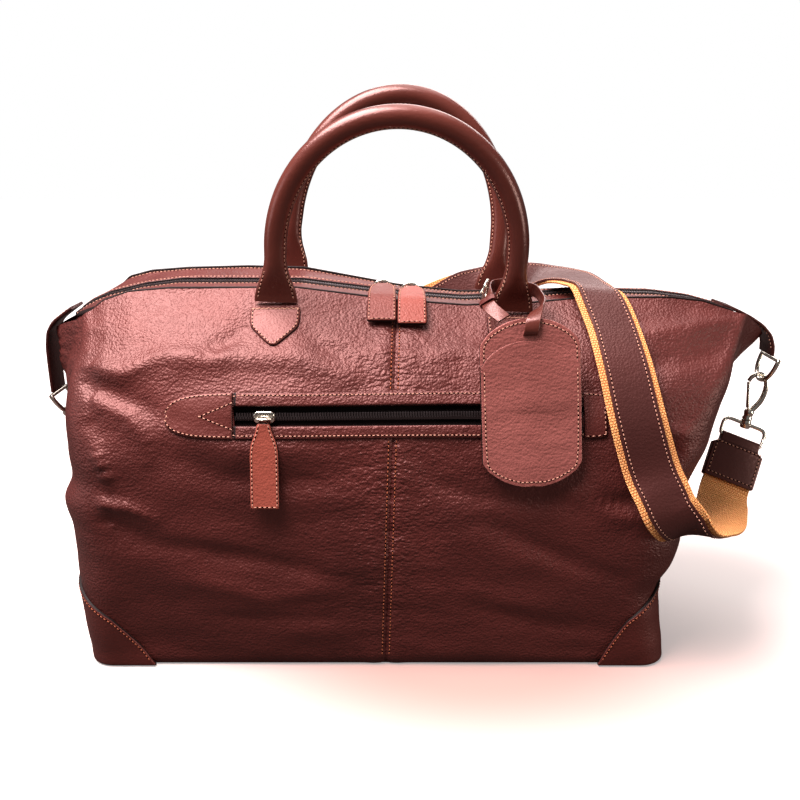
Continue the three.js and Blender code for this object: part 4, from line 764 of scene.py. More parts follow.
def bandPoint(side, x, across):
    start, stop = bandLook["ends"]
    rimX = mix(*bandLook["rimEnds"], (x - start) / (stop - start))
    rim = tableAt(rims[side], rimX)
    goesRight, w, _ = faceShare(side, rimX, rim)
    edge = np.where(goesRight[..., None], facePoint(side, True, w, 1.0), facePoint(side, False, w, 1.0))
    y = mix(np.abs(edge[..., 1]) - bandLook["inset"], bandLook["zipHalf"], across)
    tilt = faceSign[side] * bandLook["zipTilt"] * across ** 2
    z = mix(edge[..., 2] - 0.4, tableAt(ridge, x), across) + tilt
    return np.stack([mix(rimX, x, across), faceSign[side] * y, z], -1)

# Fold of hide that closes each end between the bands and the gusset, under the tab
def addEndFold(hand, goesRight):
    x = np.array([bandLook["ends"][goesRight] - 1.5 * handSign[goesRight]])
    share = np.linspace(0, 1, 41)
    front = bandPoint(0, x, np.minimum(share * 2, 1))
    back = bandPoint(2, x, np.minimum((1 - share) * 2, 1))
    top = np.where((share < 0.5)[:, None], front, back) - (0, 0, bandLook["thickness"] * 0.7)
    foot = endPoint(goesRight, mix(0.02, 0.98, share), np.full(len(share), 0.985))
    down = np.linspace(0, 1, 14)[:, None, None]
    base = mix(top[None], foot[None], down)
    base[..., 0] -= handSign[goesRight] * (1.5 + 2.5 * np.sin(down[..., 0] * math.pi))
    base[..., 1] *= 1.025
    layPiece(f"end_fold_{hand}", base, -1.0, 0.0, "hide", hint=(handSign[goesRight], 0, 0.6), painted=False,
             relief=False)

def addBand(word, side):
    x = np.linspace(*bandLook["ends"], 190)
    across = edged(9, 26)
    base = bandPoint(side, x[None, :], across[:, None])
    sag = np.array([noise.noise(Vector((v * 0.02, 3.0, side))) for v in x])
    base[..., 2] += sag[None, :] * np.sin(across * math.pi)[:, None] * bandLook["sag"]
    laid = layPiece(f"zip_band_{word}", base, -bandLook["thickness"], 0.0, "hide", hint=(0, 0, 1),
                    relief=False)
    hem(laid, "t", 2.6)
    hem(laid, "b", 3.4)

# A thin dark tube of edge paint where each band meets its rim: partly real edge paint, partly painted shade
# for the gap between band and rim
def addEdgeAndGapShade(word, side):
    x = np.linspace(*bandLook["ends"], 190)
    rim = bandPoint(side, x, np.zeros(len(x))) + (0, 0.5 * faceSign[side], 0.75)
    sweep(f"rim_edge_and_gap_shade_{word}", framesAlong(rim, (0, 0, 1)), roundSection(bandLook["pipe"], sides=8), "edge")

for hand, goesRight in hands.items():
    addEndFold(hand, goesRight)
for word, side in faceSides.items():
    addBand(word, side)

# Pocket: two welts on the skin with a tab at each end, and a pouch behind the slot
pocketLook = {"leather": 0.2, "weltTop": 1.9, "tabTop": 2.1, "weltHem": 3.0, "tabHem": 2.6, "pouchDepth": 110,
              "pouchDrop": 11}
slotTop = pocketZipHeight + pocketSlot / 2
slotLow = pocketZipHeight - pocketSlot / 2
# How far each tab's outline lies in from its full height, by x
tabInsets = {
    "left": [[-153, 13], [-151.5, 9], [-149, 6.4], [-145, 4], [-138, 2.0], [-130, 0.9], [-117, 0.2],
             [-104.6, 0]],
    "right": [[145.6, 0], [152, 0], [158, 0.6], [161, 1.6], [162.2, 3]],
}

def addPocketTab(hand, sides):
    insets = tabInsets[hand]
    x = mix(insets[0][0], insets[-1][0], edged(26, insets[-1][0] - insets[0][0]))
    full = pocketSlot / 2 + weltWidth
    half = full - tableAt(insets, x)
    rows = edged(12, 2 * full)[:, None]
    z = mix((pocketZipHeight - half)[None, :], (pocketZipHeight + half)[None, :], rows)
    base, _ = baseOfFace(0, np.broadcast_to(x, z.shape), z)
    laid = layPiece(f"pocket_tab_{hand}", base, pocketLook["leather"], pocketLook["tabTop"], "trim")
    hem(laid, sides, pocketLook["tabHem"])

def addWelt(word, low, high, side):
    x = np.linspace(pocketLeft, pocketRight, 130)
    base, _ = baseOfFace(0, *np.meshgrid(x, mix(low, high, edged(6, weltWidth))))
    laid = layPiece(f"pocket_welt_{word}", base, pocketLook["leather"], pocketLook["weltTop"], "hide")
    hem(laid, side, pocketLook["weltHem"], corner=0.5)

def addPouch():
    top = slotLow - pocketLook["pouchDrop"]
    x = np.linspace(pocketLeft + 2, pocketRight - 2, 60)
    base, _ = baseOfFace(0, *np.meshgrid(x, np.linspace(top - pocketLook["pouchDepth"], top, 40)))
    layPiece("pocket_pouch_cloth", base, -leather - 2.4, -leather - 0.8, "lining", node="pocket_pouch",
             painted=False)

# Bar-tack triangle that closes the slot's left end on the tab
def sewTriangle():
    corners = np.array([[-105.5, 207.5], [-127.5, 199], [-105.5, 190.5]])
    for a, b in zip(corners[:-1], corners[1:]):
        route = mix(a, b, np.linspace(0, 1, 12)[:, None])
        base, normal = baseOfFace(0, route[:, 0], route[:, 1])
        stitch(base + normal * (reliefAt(base) + 2.15)[:, None], normal)

addWelt("upper", slotTop, slotTop + weltWidth, "t")
addWelt("lower", slotLow - weltWidth, slotLow, "b")
addPocketTab("left", "tbl")
addPocketTab("right", "tbr")
sewTriangle()
addPouch()
for word, side in faceSides.items():
    addEdgeAndGapShade(word, side)
print("top bands and pocket made")

# Handles: rolled hide over a rope, flattened into a stitched chape at each foot; tables go by height in mm
handleLook = {
    "leftX": -78, "tube": 8.0, "neck": 28.0, "straight": 42.0, "footGap": 0.6, "seam": 0.6, "sewnShare": 0.83,
    "widths": [[0, 16], [4, 15.8], [10, 14.6], [16, 12.4], [22, 10.2], [28, 8.7], [34, 8.0]],
    "thicknesses": [[0, 1.7], [6, 2.1], [12, 3.3], [18, 5.0], [24, 6.6], [30, 7.6], [36, 8.0]],
    "squareness": [[6, 0.65], [26, 1.0]],  # 1 is an oval section, less is a flatter one
}
handles = {
    "front": {"rightX": 98, "drops": (10, 5.7), "tilt": 12, "rise": 110},
    "back": {"rightX": 92, "drops": (4.2, 2.5), "tilt": 1, "rise": 119},
}
chapeHalves = [[0, 17.8], [4, 18.5], [10, 18.5], [15, 17.6], [19, 14.6], [25.5, 8.4], [30, 3.9], [32, 1.5]]

def hingeAt(side, x, drop):
    base, normal = baseOfFace(side, np.array([x]), np.array([float(tableAt(rims[side], x)) - drop]))
    return (base + normal * 1.8)[0]

# The handle's centre line in its own plane, and the plane's directions
def handleRoute(side, left, right, tilt, rise):
    across = unit(right - left)
    up = unit(np.array([0, faceSign[side] * math.sin(math.radians(tilt)), 1]))
    up = unit(up - across * up.dot(across))
    half = np.linalg.norm(right - left) / 2
    straight = handleLook["straight"]
    arch = handleLook["neck"] + rise - straight
    heights = np.r_[handleLook["footGap"], 1.2, 3, np.arange(5, straight, 1.6)]
    angles = np.linspace(math.pi, 0, 110)
    flat = np.concatenate([
        np.stack([np.full(len(heights), -half), heights], -1),
        np.stack([half * np.cos(angles), straight + arch * np.sin(angles)], -1),
        np.stack([np.full(len(heights), half), heights[::-1]], -1)])
    points = (left + right) / 2 + flat[:, :1] * across + flat[:, 1:] * up
    return framesAlong(points, np.cross(across, up)), flat[:, 1]

def addHandle(word, side, left, right, tilt, rise):
    frames, height = handleRoute(side, left, right, tilt, rise)
    points, out, sideways, _ = frames
    shape = (tableAt(handleLook[key], height) for key in ("widths", "thicknesses", "squareness"))
    wide, thick, square = shape
    angle = np.arange(36) * 2 * math.pi / 36
    c, s = np.cos(angle), np.sin(angle)
    inner = np.exp(-(((angle + math.pi) % (2 * math.pi) - math.pi) / 0.32) ** 2)
    section = []
    for k in range(len(points)):
        oval = np.stack([thick[k] * np.sign(s) * np.abs(s) ** square[k],
                         wide[k] * np.sign(c) * np.abs(c) ** square[k]], -1)
        seam = handleLook["seam"] * inner * smooth(32, 48, height[k])
        section.append(oval * (1 + seam / handleLook["tube"])[:, None])
    body = f"{word}_handle"
    rings = sweep(f"{word}_handle_cover", frames, section, "handle", body=body)
    for index in (3, 33):
        route = rings[8:-8, index]
        stitch(route, unit(route - points[8:-8]), body=body)
    for foot in (slice(3, 16), slice(len(points) - 16, len(points) - 3)):
        for share in (-handleLook["sewnShare"], handleLook["sewnShare"]):
            place = points[foot] + sideways[foot] * (wide[foot] * share)[:, None]
            depth = thick[foot] * (1 - abs(share) ** (2 / square[foot])) ** (square[foot] / 2)
            for face in (1, -1):
                stitch(place + out[foot] * (face * depth)[:, None], out[foot] * face, body=body)

def addChapePatch(name, side, hinge):
    drop = edged(22, 32) * 32
    columns = 2 * edged(14, 37) - 1
    x = hinge[0] + columns[None, :] * tableAt(chapeHalves, drop)[:, None]
    z = np.broadcast_to((hinge[2] - 4 - drop * 0.74)[:, None], x.shape)
    base, _ = baseOfFace(side, x, z)
    outer, normal = layPiece(name, base, 0.2, 2.3, "trim")
    hem((outer, normal), "lrb", 2.8)
    row = gridPlace(outer, 0, 3.2, [15])[0]
    along = np.linspace(3, len(columns) - 4, 30)
    stitch(sampleGrid(outer, row, along), sampleGrid(normal, row, along))

for word, side in faceSides.items():
    handle = handles[word]
    across = (handleLook["leftX"], handle["rightX"])
    feet = [hingeAt(side, x, drop) for x, drop in zip(across, handle["drops"])]
    addHandle(word, side, *feet, handle["tilt"], handle["rise"])
    for hand, hinge in zip(hands, feet):
        addChapePatch(f"chape_patch_{word}_{hand}", side, hinge)
print("handles made")

# End tabs hold the rings; their routes are in x and z
tabLook = {"half": 13.5, "top": 2.4, "sewn": 10.8}
tabRoutes = {
    "left": [[-265.2, 193], [-265.6, 212], [-265.6, 230], [-263.8, 242], [-259, 249.5], [-248, 257.5],
             [-243.5, 260.6]],
    "right": [[313.2, 223], [313, 231], [310, 240], [302.3, 248.4], [291.4, 255.4], [280.5, 260.8],
              [268, 265]],
}

def addEndTab(hand):
    route = np.asarray(tabRoutes[hand], float)
    lengths = lengthsAlong(route)
    route = routeAt(route, lengths, np.linspace(0, 1, 60) * lengths[-1])
    for _ in range(6):
        route[1:-1] = (route[:-2] + 2 * route[1:-1] + route[2:]) / 4
    frames = framesAlong(np.insert(route, 1, 0, axis=1), (0, 1, 0))
    sweep(f"end_tab_{hand}", frames, flatSection(tabLook["half"], 0.05, tabLook["top"], 0.9), "dark")
    for across in (-tabLook["sewn"], tabLook["sewn"]):
        sewn = frames[0] + frames[1] * across
        stitch(sewn[6:-4] + frames[2][6:-4] * tabLook["top"], frames[2][6:-4])

# D-rings: the middle of each straight side in x and z, and how far the ring leans in x for each mm down
ringLook = {"wire": 1.8, "inside": 29.0, "drop": 20.0}
ringSpots = {"left": (-266.4, 190.5, 0.6), "right": (315.5, 219.5, -0.35)}

def ringFrame(hand):
    x, z, lean = ringSpots[hand]
    return np.array([x, 0, z]), unit(np.array([lean, 0, -1.0]))

def addRing(hand):
    middle, down = ringFrame(hand)
    half = ringLook["inside"] / 2 + ringLook["wire"]
    flat = [(y, 0) for y in np.linspace(-half, half, 14)]
    for s in np.linspace(0, 1, 40)[1:-1]:
        flat.append((half * math.cos(math.pi * s), ringLook["drop"] * math.sin(math.pi * s) ** 0.8))
    points = np.array([middle + down * d + np.array([0, y, 0]) for y, d in flat])
    frames = framesAlong(points, np.cross((0, 1, 0), down), closed=True)
    sweep(f"d_ring_{hand}", frames, roundSection(ringLook["wire"]), "nickel", closed=True,
          body=f"{hand}_ring")

for hand in hands:
    addEndTab(hand)
for hand in hands:
    addRing(hand)

# Shoulder strap fittings: a loop with its swivel, a hook with its collar, and a gate; paths are across and up
loopLook = {"wire": 1.5, "inside": 33.0, "height": 13.0, "corner": 3}
hookTop, hookWire = 43.9, 2.0
hookLook = {
    "path": [[0, 8.2], [0.6, 10.8], [3.6, 15.2], [6.8, 21], [8, 28], [7.6, 34.6], [5.2, 40.9], [0.5, hookTop],
             [-4.2, 42], [-6.9, 38.5], [-7.7, 35.6]],
    "radii": [[0, 2.9], [0.12, 2.3], [0.45, 2.0], [0.6, 1.75], [0.9, 1.75], [1, 1.6]],
    "gate": [[-2.4, 14], [-7.4, 34]], "gateReach": 1.05, "gateWidth": 1.3,
    "gateRadii": (2.0, 2.0, 1.8, 1.5, 1.3, 1.2, 1.1, 1.0, 0.9),
    # The swivel and the collar are turned: height and radius
    "swivel": [(-3.6, 2.6), (-3.4, 3.6), (-2.4, 4.2), (2.4, 4.2), (3.4, 3.9), (3.6, 3.2)],
    "collar": [(4.0, 3.4), (4.3, 4.1), (5.4, 4.2), (6.2, 3.5), (8.2, 3.6), (10.4, 4.1), (12.2, 3.6),
               (13.4, 2.0)],
}
hookEye = hookTop - hookWire - 0.35 - ringLook["wire"]
strapEnds = {
    "right": {"up": (0.19, 0.03, 0.98), "hang": (-0.36, -0.42, -0.83), "width": (1, 0, -0.12), "slack": 0.75},
    "left": {"up": (-0.12, -0.55, 0.83), "hang": (0.08, 0.75, -0.65), "width": (0, 0.65, 0.75), "slack": 1.7},
}

# Where a strap end's swivel is, the hook's directions, the strap's directions, and where the strap begins
def endFrame(hand):
    end = strapEnds[hand]
    middle, down = ringFrame(hand)
    up = unit(np.array(end["up"], float))
    across = unit(np.array([1.0, 0, 0]) - up * up[0])
    origin = middle + down * ringLook["drop"] + up * (end["slack"] - hookEye) - across * 0.5
    hang = unit(np.array(end["hang"], float))
    width = np.array(end["width"], float)
    width = unit(width - hang * width.dot(hang))
    return origin, up, across, hang, width, origin + hang * (loopLook["height"] + 3 * loopLook["wire"])

def addTurned(name, origin, axis, across, profile, body="bag"):
    points = origin + np.array([h for h, _ in profile], float)[:, None] * axis
    frames = (points, np.broadcast_to(across, points.shape),
              np.broadcast_to(np.cross(axis, across), points.shape), None)
    sweep(name, frames, [roundSection(r) for _, r in profile], "nickel", body=body)

def addLoop(hand):
    origin, _, _, hang, width, _ = endFrame(hand)
    half = loopLook["inside"] / 2 + loopLook["wire"]
    drop = loopLook["height"] + 2 * loopLook["wire"]
    soft = loopLook["corner"]
    outline = np.array([[-half + soft, 0], [0, 0], [half - soft, 0], [half, soft], [half, drop - soft],
                        [half - soft, drop], [0, drop], [-half + soft, drop], [-half, drop - soft],
                        [-half, soft]])
    eased = []
    for k, point in enumerate(outline):
        before, after = outline[k - 1], outline[(k + 1) % len(outline)]
        eased += [mix(point, before, 0.12), point * 0.76 + (before + after) * 0.12, mix(point, after, 0.12)]
    eased = np.array(eased)
    points = origin + eased[:, :1] * width + eased[:, 1:] * hang
    frames = framesAlong(points, np.cross(width, hang), closed=True)
    sweep(f"strap_loop_{hand}", frames, roundSection(loopLook["wire"]), "nickel", closed=True)

def addHook(hand):
    origin, up, across, _, _, _ = endFrame(hand)
    face = np.cross(up, across)
    addTurned(f"swivel_{hand}", origin, up, across, hookLook["swivel"])
    hook = smoothLoop([origin + a * across + b * up for a, b in hookLook["path"]], closed=False)
    radii = tableAt(hookLook["radii"], np.linspace(0, 1, len(hook)))
    sweep(f"hook_{hand}", framesAlong(hook, face), [roundSection(r * 1.1, r) for r in radii], "nickel",
          body=f"{hand}_hook")
    addTurned(f"collar_{hand}", origin, up, across, hookLook["collar"], f"{hand}_hook")
    (a0, b0), (a1, b1) = hookLook["gate"]
    shares = np.linspace(0, hookLook["gateReach"], len(hookLook["gateRadii"]))
    gate = np.array([origin + mix(a0, a1, s) * across + mix(b0, b1, s) * up for s in shares])
    section = [roundSection(r, hookLook["gateWidth"]) for r in hookLook["gateRadii"]]
    sweep(f"gate_{hand}", framesAlong(gate, face), section, "nickel", body=f"{hand}_gate")

for hand in strapEnds:
    addLoop(hand)
    addHook(hand)

# Shoulder strap: cotton webbing with a stitched hide strip on its outer face, and a sleeve over each end
strapLook = {"width": 40.0, "thickness": 2.2, "stripWidth": 31.0, "stripThickness": 1.6, "stations": 361,
             "padFrom": 0.66, "padTo": 0.62, "sewnIn": 2.6}
capLook = {"width": 43.0, "length": 34.0, "leather": 1.6, "slack": 0.85, "neckWidth": 33.0, "neckDrop": 3.4,
           "tail": 6.0, "puff": 0.5, "sewnIn": 3}
# The strap's drape: a place and the way that the width points
strapRoute = [
    [269.7, -50, 110.4, 0.92, -0.25, -0.15], [257, -79, 110.5, 0.9, -0.2, -0.1],
    [237, -108, 116.5, 0.94, -0.1, -0.05], [219, -119.5, 122, 0.96, -0.02, 0],
    [205.8, -122.5, 135, 0.97, 0.02, 0.08],
    [200, -119.5, 146.5, 0.97, 0.02, 0.18], [193, -113, 162, 0.95, 0, 0.26], [182, -106, 198, 0.98, 0, 0.12],
    [174, -87.5, 235, 1, 0, -0.06], [168.5, -63.5, 260, 0.97, -0.1, -0.2],
    [162, -42, 277.5, 0.96, -0.12, -0.2],
    [157.5, -24, 280.5, 0.98, -0.08, -0.08], [152, 2, 280.3, 0.98, 0.12, 0.05],
    [145.5, 26, 278, 0.9, 0.38, 0.18],
    [133, 50, 273.5, 0.66, 0.6, 0.4], [114, 72, 267, 0.33, 0.5, 0.8], [86, 80, 260, 0.05, 0.32, 0.95],
    [60, 82, 253, -0.12, 0.2, 0.96], [30, 92, 237, -0.32, -0.02, 0.94], [-15, 107.5, 196, -0.5, -0.16, 0.84],
    [-60, 114, 161, -0.5, 0, 0.86], [-110, 119, 131, -0.42, 0, 0.9], [-160, 121, 109, -0.3, 0, 0.95],
    [-200, 121, 96, -0.15, 0, 0.98], [-226, 117, 91, 0, 0.02, 1], [-241, 102, 91, 0, 0.2, 0.97],
    [-247, 80, 96, 0, 0.4, 0.91],
]

def strapCourse():
    length = capLook["length"]
    reach = [capLook["tail"], length * 0.5, length * 0.9, length + 5]

    def inCap(hand, distances):
        _, _, _, hang, width, start = endFrame(hand)
        return [[*(start + hang * d), *width] for d in distances]

    stations = inCap("right", reach) + strapRoute + inCap("left", reversed(reach))
    return strapFrames(stations, strapLook["stations"])

def addWebbing(strap):
    section = flatSection(strapLook["width"] / 2, -strapLook["thickness"], 0, 0.9)
    shape = len(strap[0]), len(section)
    around = np.broadcast_to(section.sum(1), shape)
    along = np.broadcast_to(lengthsAlong(strap[0])[:, None], shape)
    sweep("strap_webbing", strap, section, "webbing", uv=np.stack([around, along], -1).reshape(-1, 2))

# The hide strip; where the strap crosses behind the handles it widens over the webbing into a shoulder piece
def addStrip(strap):
    clear = capLook["length"] + 4 - capLook["tail"]
    route = strap[0]
    first = int(np.argmax(np.linalg.norm(route - route[0], axis=1) > clear))
    last = len(route) - 1 - int(np.argmax(np.linalg.norm(route - route[-1], axis=1)[::-1] > clear))
    strip = tuple(part[first:last + 1] for part in strap)
    width, thickness = strapLook["stripWidth"], strapLook["stripThickness"]
    low = -strapLook["thickness"] - thickness - 0.1
    y = strip[0][:, 1]
    share = np.arange(len(y)) / len(y)
    wide = smooth(-30, 18, y) * smooth(strapLook["padFrom"], strapLook["padTo"], share)
    half = width / 2 + (strapLook["width"] - width + 1.6) / 2 * wide
    slim = flatSection(1.0, low, low + thickness, 0.5 / 15)
    sweep("strap_leather", strip, [slim * (h, 1) for h in half], "strip")
    for sign in (-1, 1):
        sewn = (sign * (half - strapLook["sewnIn"]))[:, None]
        stitch(strip[0] + strip[1] * sewn + strip[2] * low, -strip[2])

# Sleeve of dark hide over a strap end, puffed by the fold inside and sewn round its border
def addCap(hand, strapFace):
    _, _, _, hang, width, start = endFrame(hand)
    z = -hang
    y = np.cross(z, width)
    inward = -1 if strapFace.dot(y) < 0 else 1
    x, y = width * inward, y * inward
    length, neck, puff = capLook["length"], capLook["neckDrop"], capLook["puff"]
    top = loopLook["wire"] * 2 + 0.35 + capLook["leather"] + 0.5
    high = capLook["slack"] + capLook["leather"]
    low = -strapLook["thickness"] - high
    middle = (low + high) / 2
    heights = np.r_[-length, -length + 0.8, np.linspace(-length + 3, -neck - 4, 12), -neck - 2.5, -neck - 1,
                    -neck, -neck + 1, -3, -1, 1, 3, top - 1.2, top - 0.4, top]
    rings = []
    for h in heights:
        puffed = puff * 0.4 * math.sin(math.pi * np.clip((-h - neck) / (length - neck), 0, 1)) ** 0.5
        narrowed = (capLook["width"] - capLook["neckWidth"]) / 2 * smooth(-neck - 2.5, -neck + 1, h)
        half = capLook["width"] / 2 - narrowed - (0.9 if h < -length + 0.2 else 0)
        bow = 1 - 0.4 * (1 - math.sqrt(max(0, 1 - max(0, (h - top + 2.4) / 2.4) ** 2)))
        section = flatSection(half, (low - middle) * bow - puffed, (high - middle) * bow + puffed, 1.2)
        rings.append(start + z * h + section[:, :1] * x + (section[:, 1:] + middle) * y)
    makeMesh(f"strap_cap_{hand}", np.array(rings), tubeFaces(len(rings), len(rings[0])), "cap")
    wide, foot, head = capLook["width"] / 2 - capLook["sewnIn"], -length + capLook["sewnIn"], -neck - 1
    box = np.array([(-wide, head), (-wide, foot), (wide, foot), (wide, head), (-wide, head)])
    for side, level in ((1, high), (-1, low)):
        for a, b in zip(box[:-1], box[1:]):
            route = mix(a, b, np.linspace(0, 1, 16)[:, None])
            stitch(start + route[:, 1:] * z + route[:, :1] * x + (level + 0.28 * side) * y, y * side)

strap = strapCourse()
addWebbing(strap)
addStrip(strap)
addCap("right", strap[2][0])
addCap("left", strap[2][-1])
print("shoulder strap made")

# Places a piece that was drawn flat, x to its right and y up it
def place(flat, at, right, down):
    x = unit(np.asarray(right, float))
    y = -unit(np.asarray(down, float))
    z = np.cross(x, y)
    return np.asarray(at, float) + flat[..., :1] * x + flat[..., 1:2] * y + flat[..., 2:] * z

# A flat sheet by rows and by shares of its half width
def flatSheet(rows, half, columns):
    flat = np.zeros((len(rows), len(columns), 3))
    flat[..., 0] = columns[None, :] * half[:, None]
    flat[..., 1] = -rows[:, None]
    return flat

# Sliders and pulls: half widths go by the drops below the hinge, for a pull 58 mm long
pullDrops = [0, 0.6, 1.8, 4.5, 9, 14, 20, 30, 45, 55, 57.2, 58]
pullShapes = {
    "main": {"length": 60, "droop": 42, "down": (0, -1, -0.07),
             "halves": [2.6, 4.2, 5.8, 7.4, 9.0, 10.0, 10.4, 10.7, 10.9, 11.0, 10.6, 9.6]},
    "pocket": {"length": 62, "droop": 0, "down": (0, -0.15, -1),
               "halves": [3.0, 4.2, 5.0, 5.6, 7.2, 9.2, 10.2, 10.3, 10.4, 10.4, 10.2, 9.6]},
}
sliderLook = {"size": (15, 9, 3), "corner": 3.4, "edge": 1.0, "bridgeHalf": 5.2, "bridgeRise": 4.6}
# The main sliders: their x, their pull's x, the stretch of ridge that sets their slope, and the pull's look;
# the right pull's look is a lighter copy of the pull leather, painted light
mainSliders = {"left": (0, 0.7, (-64, 12), "pull"), "right": (22, 23.3, (12, 64), "pullPaintedLight")}

# A pull of folded hide that droops under its own weight over its outer half
def addPull(name, kind, body, at, look):
    values = pullShapes[kind]
    length, right, down = values["length"], (1, 0, 0), values["down"]
    rows = edged(44, length) * length
    half = curveAt(list(zip(np.array(pullDrops) * length / 58, values["halves"])), rows)
    flat = flatSheet(rows, half, 2 * edged(14, 2 * max(values["halves"])) - 1)
    fine = np.linspace(0, length, 400)
    angle = math.radians(values["droop"]) * smooth(length * 0.45, length * 0.8, fine)
    drop = -flat[..., 1]
    flat[..., 1] = -np.interp(drop, fine, np.r_[0, np.cumsum(np.cos(angle[1:]) * fine[1])])
    flat[..., 2] = -np.interp(drop, fine, np.r_[0, np.cumsum(np.sin(angle[1:]) * fine[1])])
    turned = np.interp(drop, fine, angle)[..., None]
    tilt = np.concatenate([0 * turned, -np.sin(turned), np.cos(turned)], -1)
    laid = layPiece(name, place(flat, at, right, down), -1.2, 1.2, look, radius=1.0, relief=False, body=body,
                    hint=place(tilt, (0, 0, 0), right, down))
    hem(laid, "lrt", 2.9, corner=3.2, body=body)

# Die-cast slider: a rounded body with a bridge over it that holds the pull
def addSlider(name, bridge, body, at, turn):
    mesh = bpy.data.meshes.new(name)
    shape = bmesh.new()
    bmesh.ops.create_cube(shape, size=1.0)
    bmesh.ops.scale(shape, vec=Vector(sliderLook["size"]) * mm, verts=shape.verts)

    def bevel(edges, offset, segments):
        bmesh.ops.bevel(shape, geom=edges, offset=offset * mm, segments=segments, profile=0.5, affect="EDGES")

    def climb(edge):
        return abs(edge.verts[0].co.z - edge.verts[1].co.z)

    bevel([edge for edge in shape.edges if climb(edge) > mm], sliderLook["corner"], 6)
    bevel([edge for edge in shape.edges if climb(edge) < 0.1 * mm], sliderLook["edge"], 3)
    bmesh.ops.transform(shape, matrix=Matrix.Translation(Vector(at) * mm) @ turn, verts=shape.verts)
    shape.to_mesh(mesh)
    shape.free()
    mesh.shade_smooth()
    mesh.set_sharp_from_angle(angle=math.radians(40))
    mesh.materials.append(materials["nickel"])
    showPiece(name, mesh, body)
    axes = np.array(turn.to_3x3())
    angles = np.linspace(0, math.pi, 21)
    arch = np.stack([sliderLook["bridgeHalf"] * np.cos(angles), 0 * angles,
                     1.0 + sliderLook["bridgeRise"] * np.sin(angles) ** 0.8], -1)
    sweep(bridge, framesAlong(arch @ axes.T + at, axes[:, 1]), roundSection(0.95, 1.9), "nickel", body=body)

def addMainSlider(hand):
    x, pullX, (start, stop), look = mainSliders[hand]
    low, high, z = (float(tableAt(ridge, at)) for at in (start, stop, x))
    turn = Matrix.Rotation(-math.atan((high - low) / (stop - start)), 4, "Y")
    z = z - 0.8 + 0.35
    addSlider(f"main_slider_{hand}", f"slider_bridge_{hand}", f"{hand}_slider", (x, 0, z + 1.5), turn)
    addPull(f"main_pull_{hand}", "main", f"{hand}_pull", (pullX, -3.5, z + 5.5), look)

def addPocketSlider():
    base, normal = baseOfFace(0, np.array([pocketLeft + 22.0]), np.array([pocketZipHeight]))
    x, y, z = (base + normal * 0.65)[0]
    upright = Matrix.Rotation(math.pi / 2, 4, "X")
    addSlider("pocket_slider", "pocket_bridge", "pocket_slider_body", (x, y - 1.5, z), upright)
    # The pocket pull wears a lighter copy of the pull leather: painted light
    addPull("pocket_pull", "pocket", "pocket_pull_body", (x, y - 6.5, z - 3), "pullPocketPaintedLight")

for hand in mainSliders:
    addMainSlider(hand)
addPocketSlider()
print("sliders and pulls made")

# Luggage tag: two layers of hide sewn round the edge, with a pocket flap on the front
tagTop, tagDown, tagRight = (104.5, -93.5, 268), unit(np.array([0.035, -0.165, -1])), (1, 0, 0.035)
tagLook = {"half": 35.5, "backThickness": 1.8, "flapThickness": 1.1, "flapDrop": 15.5, "flapInset": 0.25,
           "sewnIn": 2.9}
# The tag's half width by the drop below its top
tagOutline = [[-1.2, 3], [-0.4, 8.5], [1.2, 15.5], [4, 22], [8, 28], [12, 32], [17, 35.2], [24, 35.5],
              [101, 35.5], [107, 31.5], [112, 24.5], [115, 19], [117.4, 11], [118.6, 3]]
# The flap's upper edge has the same curve, lower down
flapOutline = [[drop + tagLook["flapDrop"], half] for drop, half in tagOutline[:8]] + tagOutline[8:]

def tagPlace(flat):
    return place(flat, tagTop, tagRight, tagDown)

tagFacing = place(np.array([0, 0, 1.0]), (0, 0, 0), tagRight, tagDown)

def tagSheet(outline, count):
    first, final = outline[0][0], outline[-1][0]
    near = np.array([0, 0.3, 0.8, 1.5])
    rows = np.r_[first + near, np.linspace(first + 2.4, final - 2.4, count), final - near[::-1]]
    rows = np.round(rows, 3)
    columns = np.round(2 * edged(40, 2 * tagLook["half"]) - 1, 5)
    return flatSheet(rows, tableAt(outline, rows), columns)

def layTag(name, flat, thickness, radius):
    layPiece(name, tagPlace(flat), 0.0, thickness, "tag", hint=tagFacing, radius=radius, relief=False,
             body="luggage_tag")

def addTagLeathers():
    layTag("tag_back", tagSheet(tagOutline, 60), tagLook["backThickness"], 0.9)
    rows = np.linspace(14.3, 118.2, 400)
    half = np.minimum(tableAt(flapOutline, rows), tableAt(tagOutline, rows)) - tagLook["flapInset"]
    flat = tagSheet(np.column_stack([rows, half]), 70)
    drop, side = -flat[..., 1], flat[..., 0]
    # A low ridge over what the tag holds, and two hollows below it
    bulge = 0.55 * np.exp(-((drop - 56) / 9) ** 2) * (1 - (side / 40) ** 2)
    hollow = 0.3 * np.exp(-((drop - 68) / 6) ** 2)
    dent = 0.25 * np.exp(-(((drop - 74) / 10) ** 2 + ((side - 18) / 12) ** 2))
    flat[..., 2] += 1.9 + bulge - hollow - dent
    layTag("tag_flap", flat, tagLook["flapThickness"], 0.7)

# Stitches round the tag's edge, over the flap where it is
def sewTag():
    rim = np.array([(half - tagLook["sewnIn"], -drop) for drop, half in tagOutline if half > 6])
    rim[:, 1] += np.interp(-rim[:, 1], [0, 20, 100, 118], [-2.4, 0, 0, 2.6])
    rim = smoothLoop(rim, closed=False, rounds=2)
    loop = np.concatenate([rim, (rim * (-1, 1))[::-1], rim[:1]])
    drops, halves = np.array(flapOutline[:8]).T
    overFlap = -loop[:, 1] > np.interp(np.abs(loop[:, 0]), halves, drops)
    stitch(tagPlace(np.column_stack([loop, np.where(overFlap, 3.02, 1.82)])), tagFacing, body="luggage_tag")
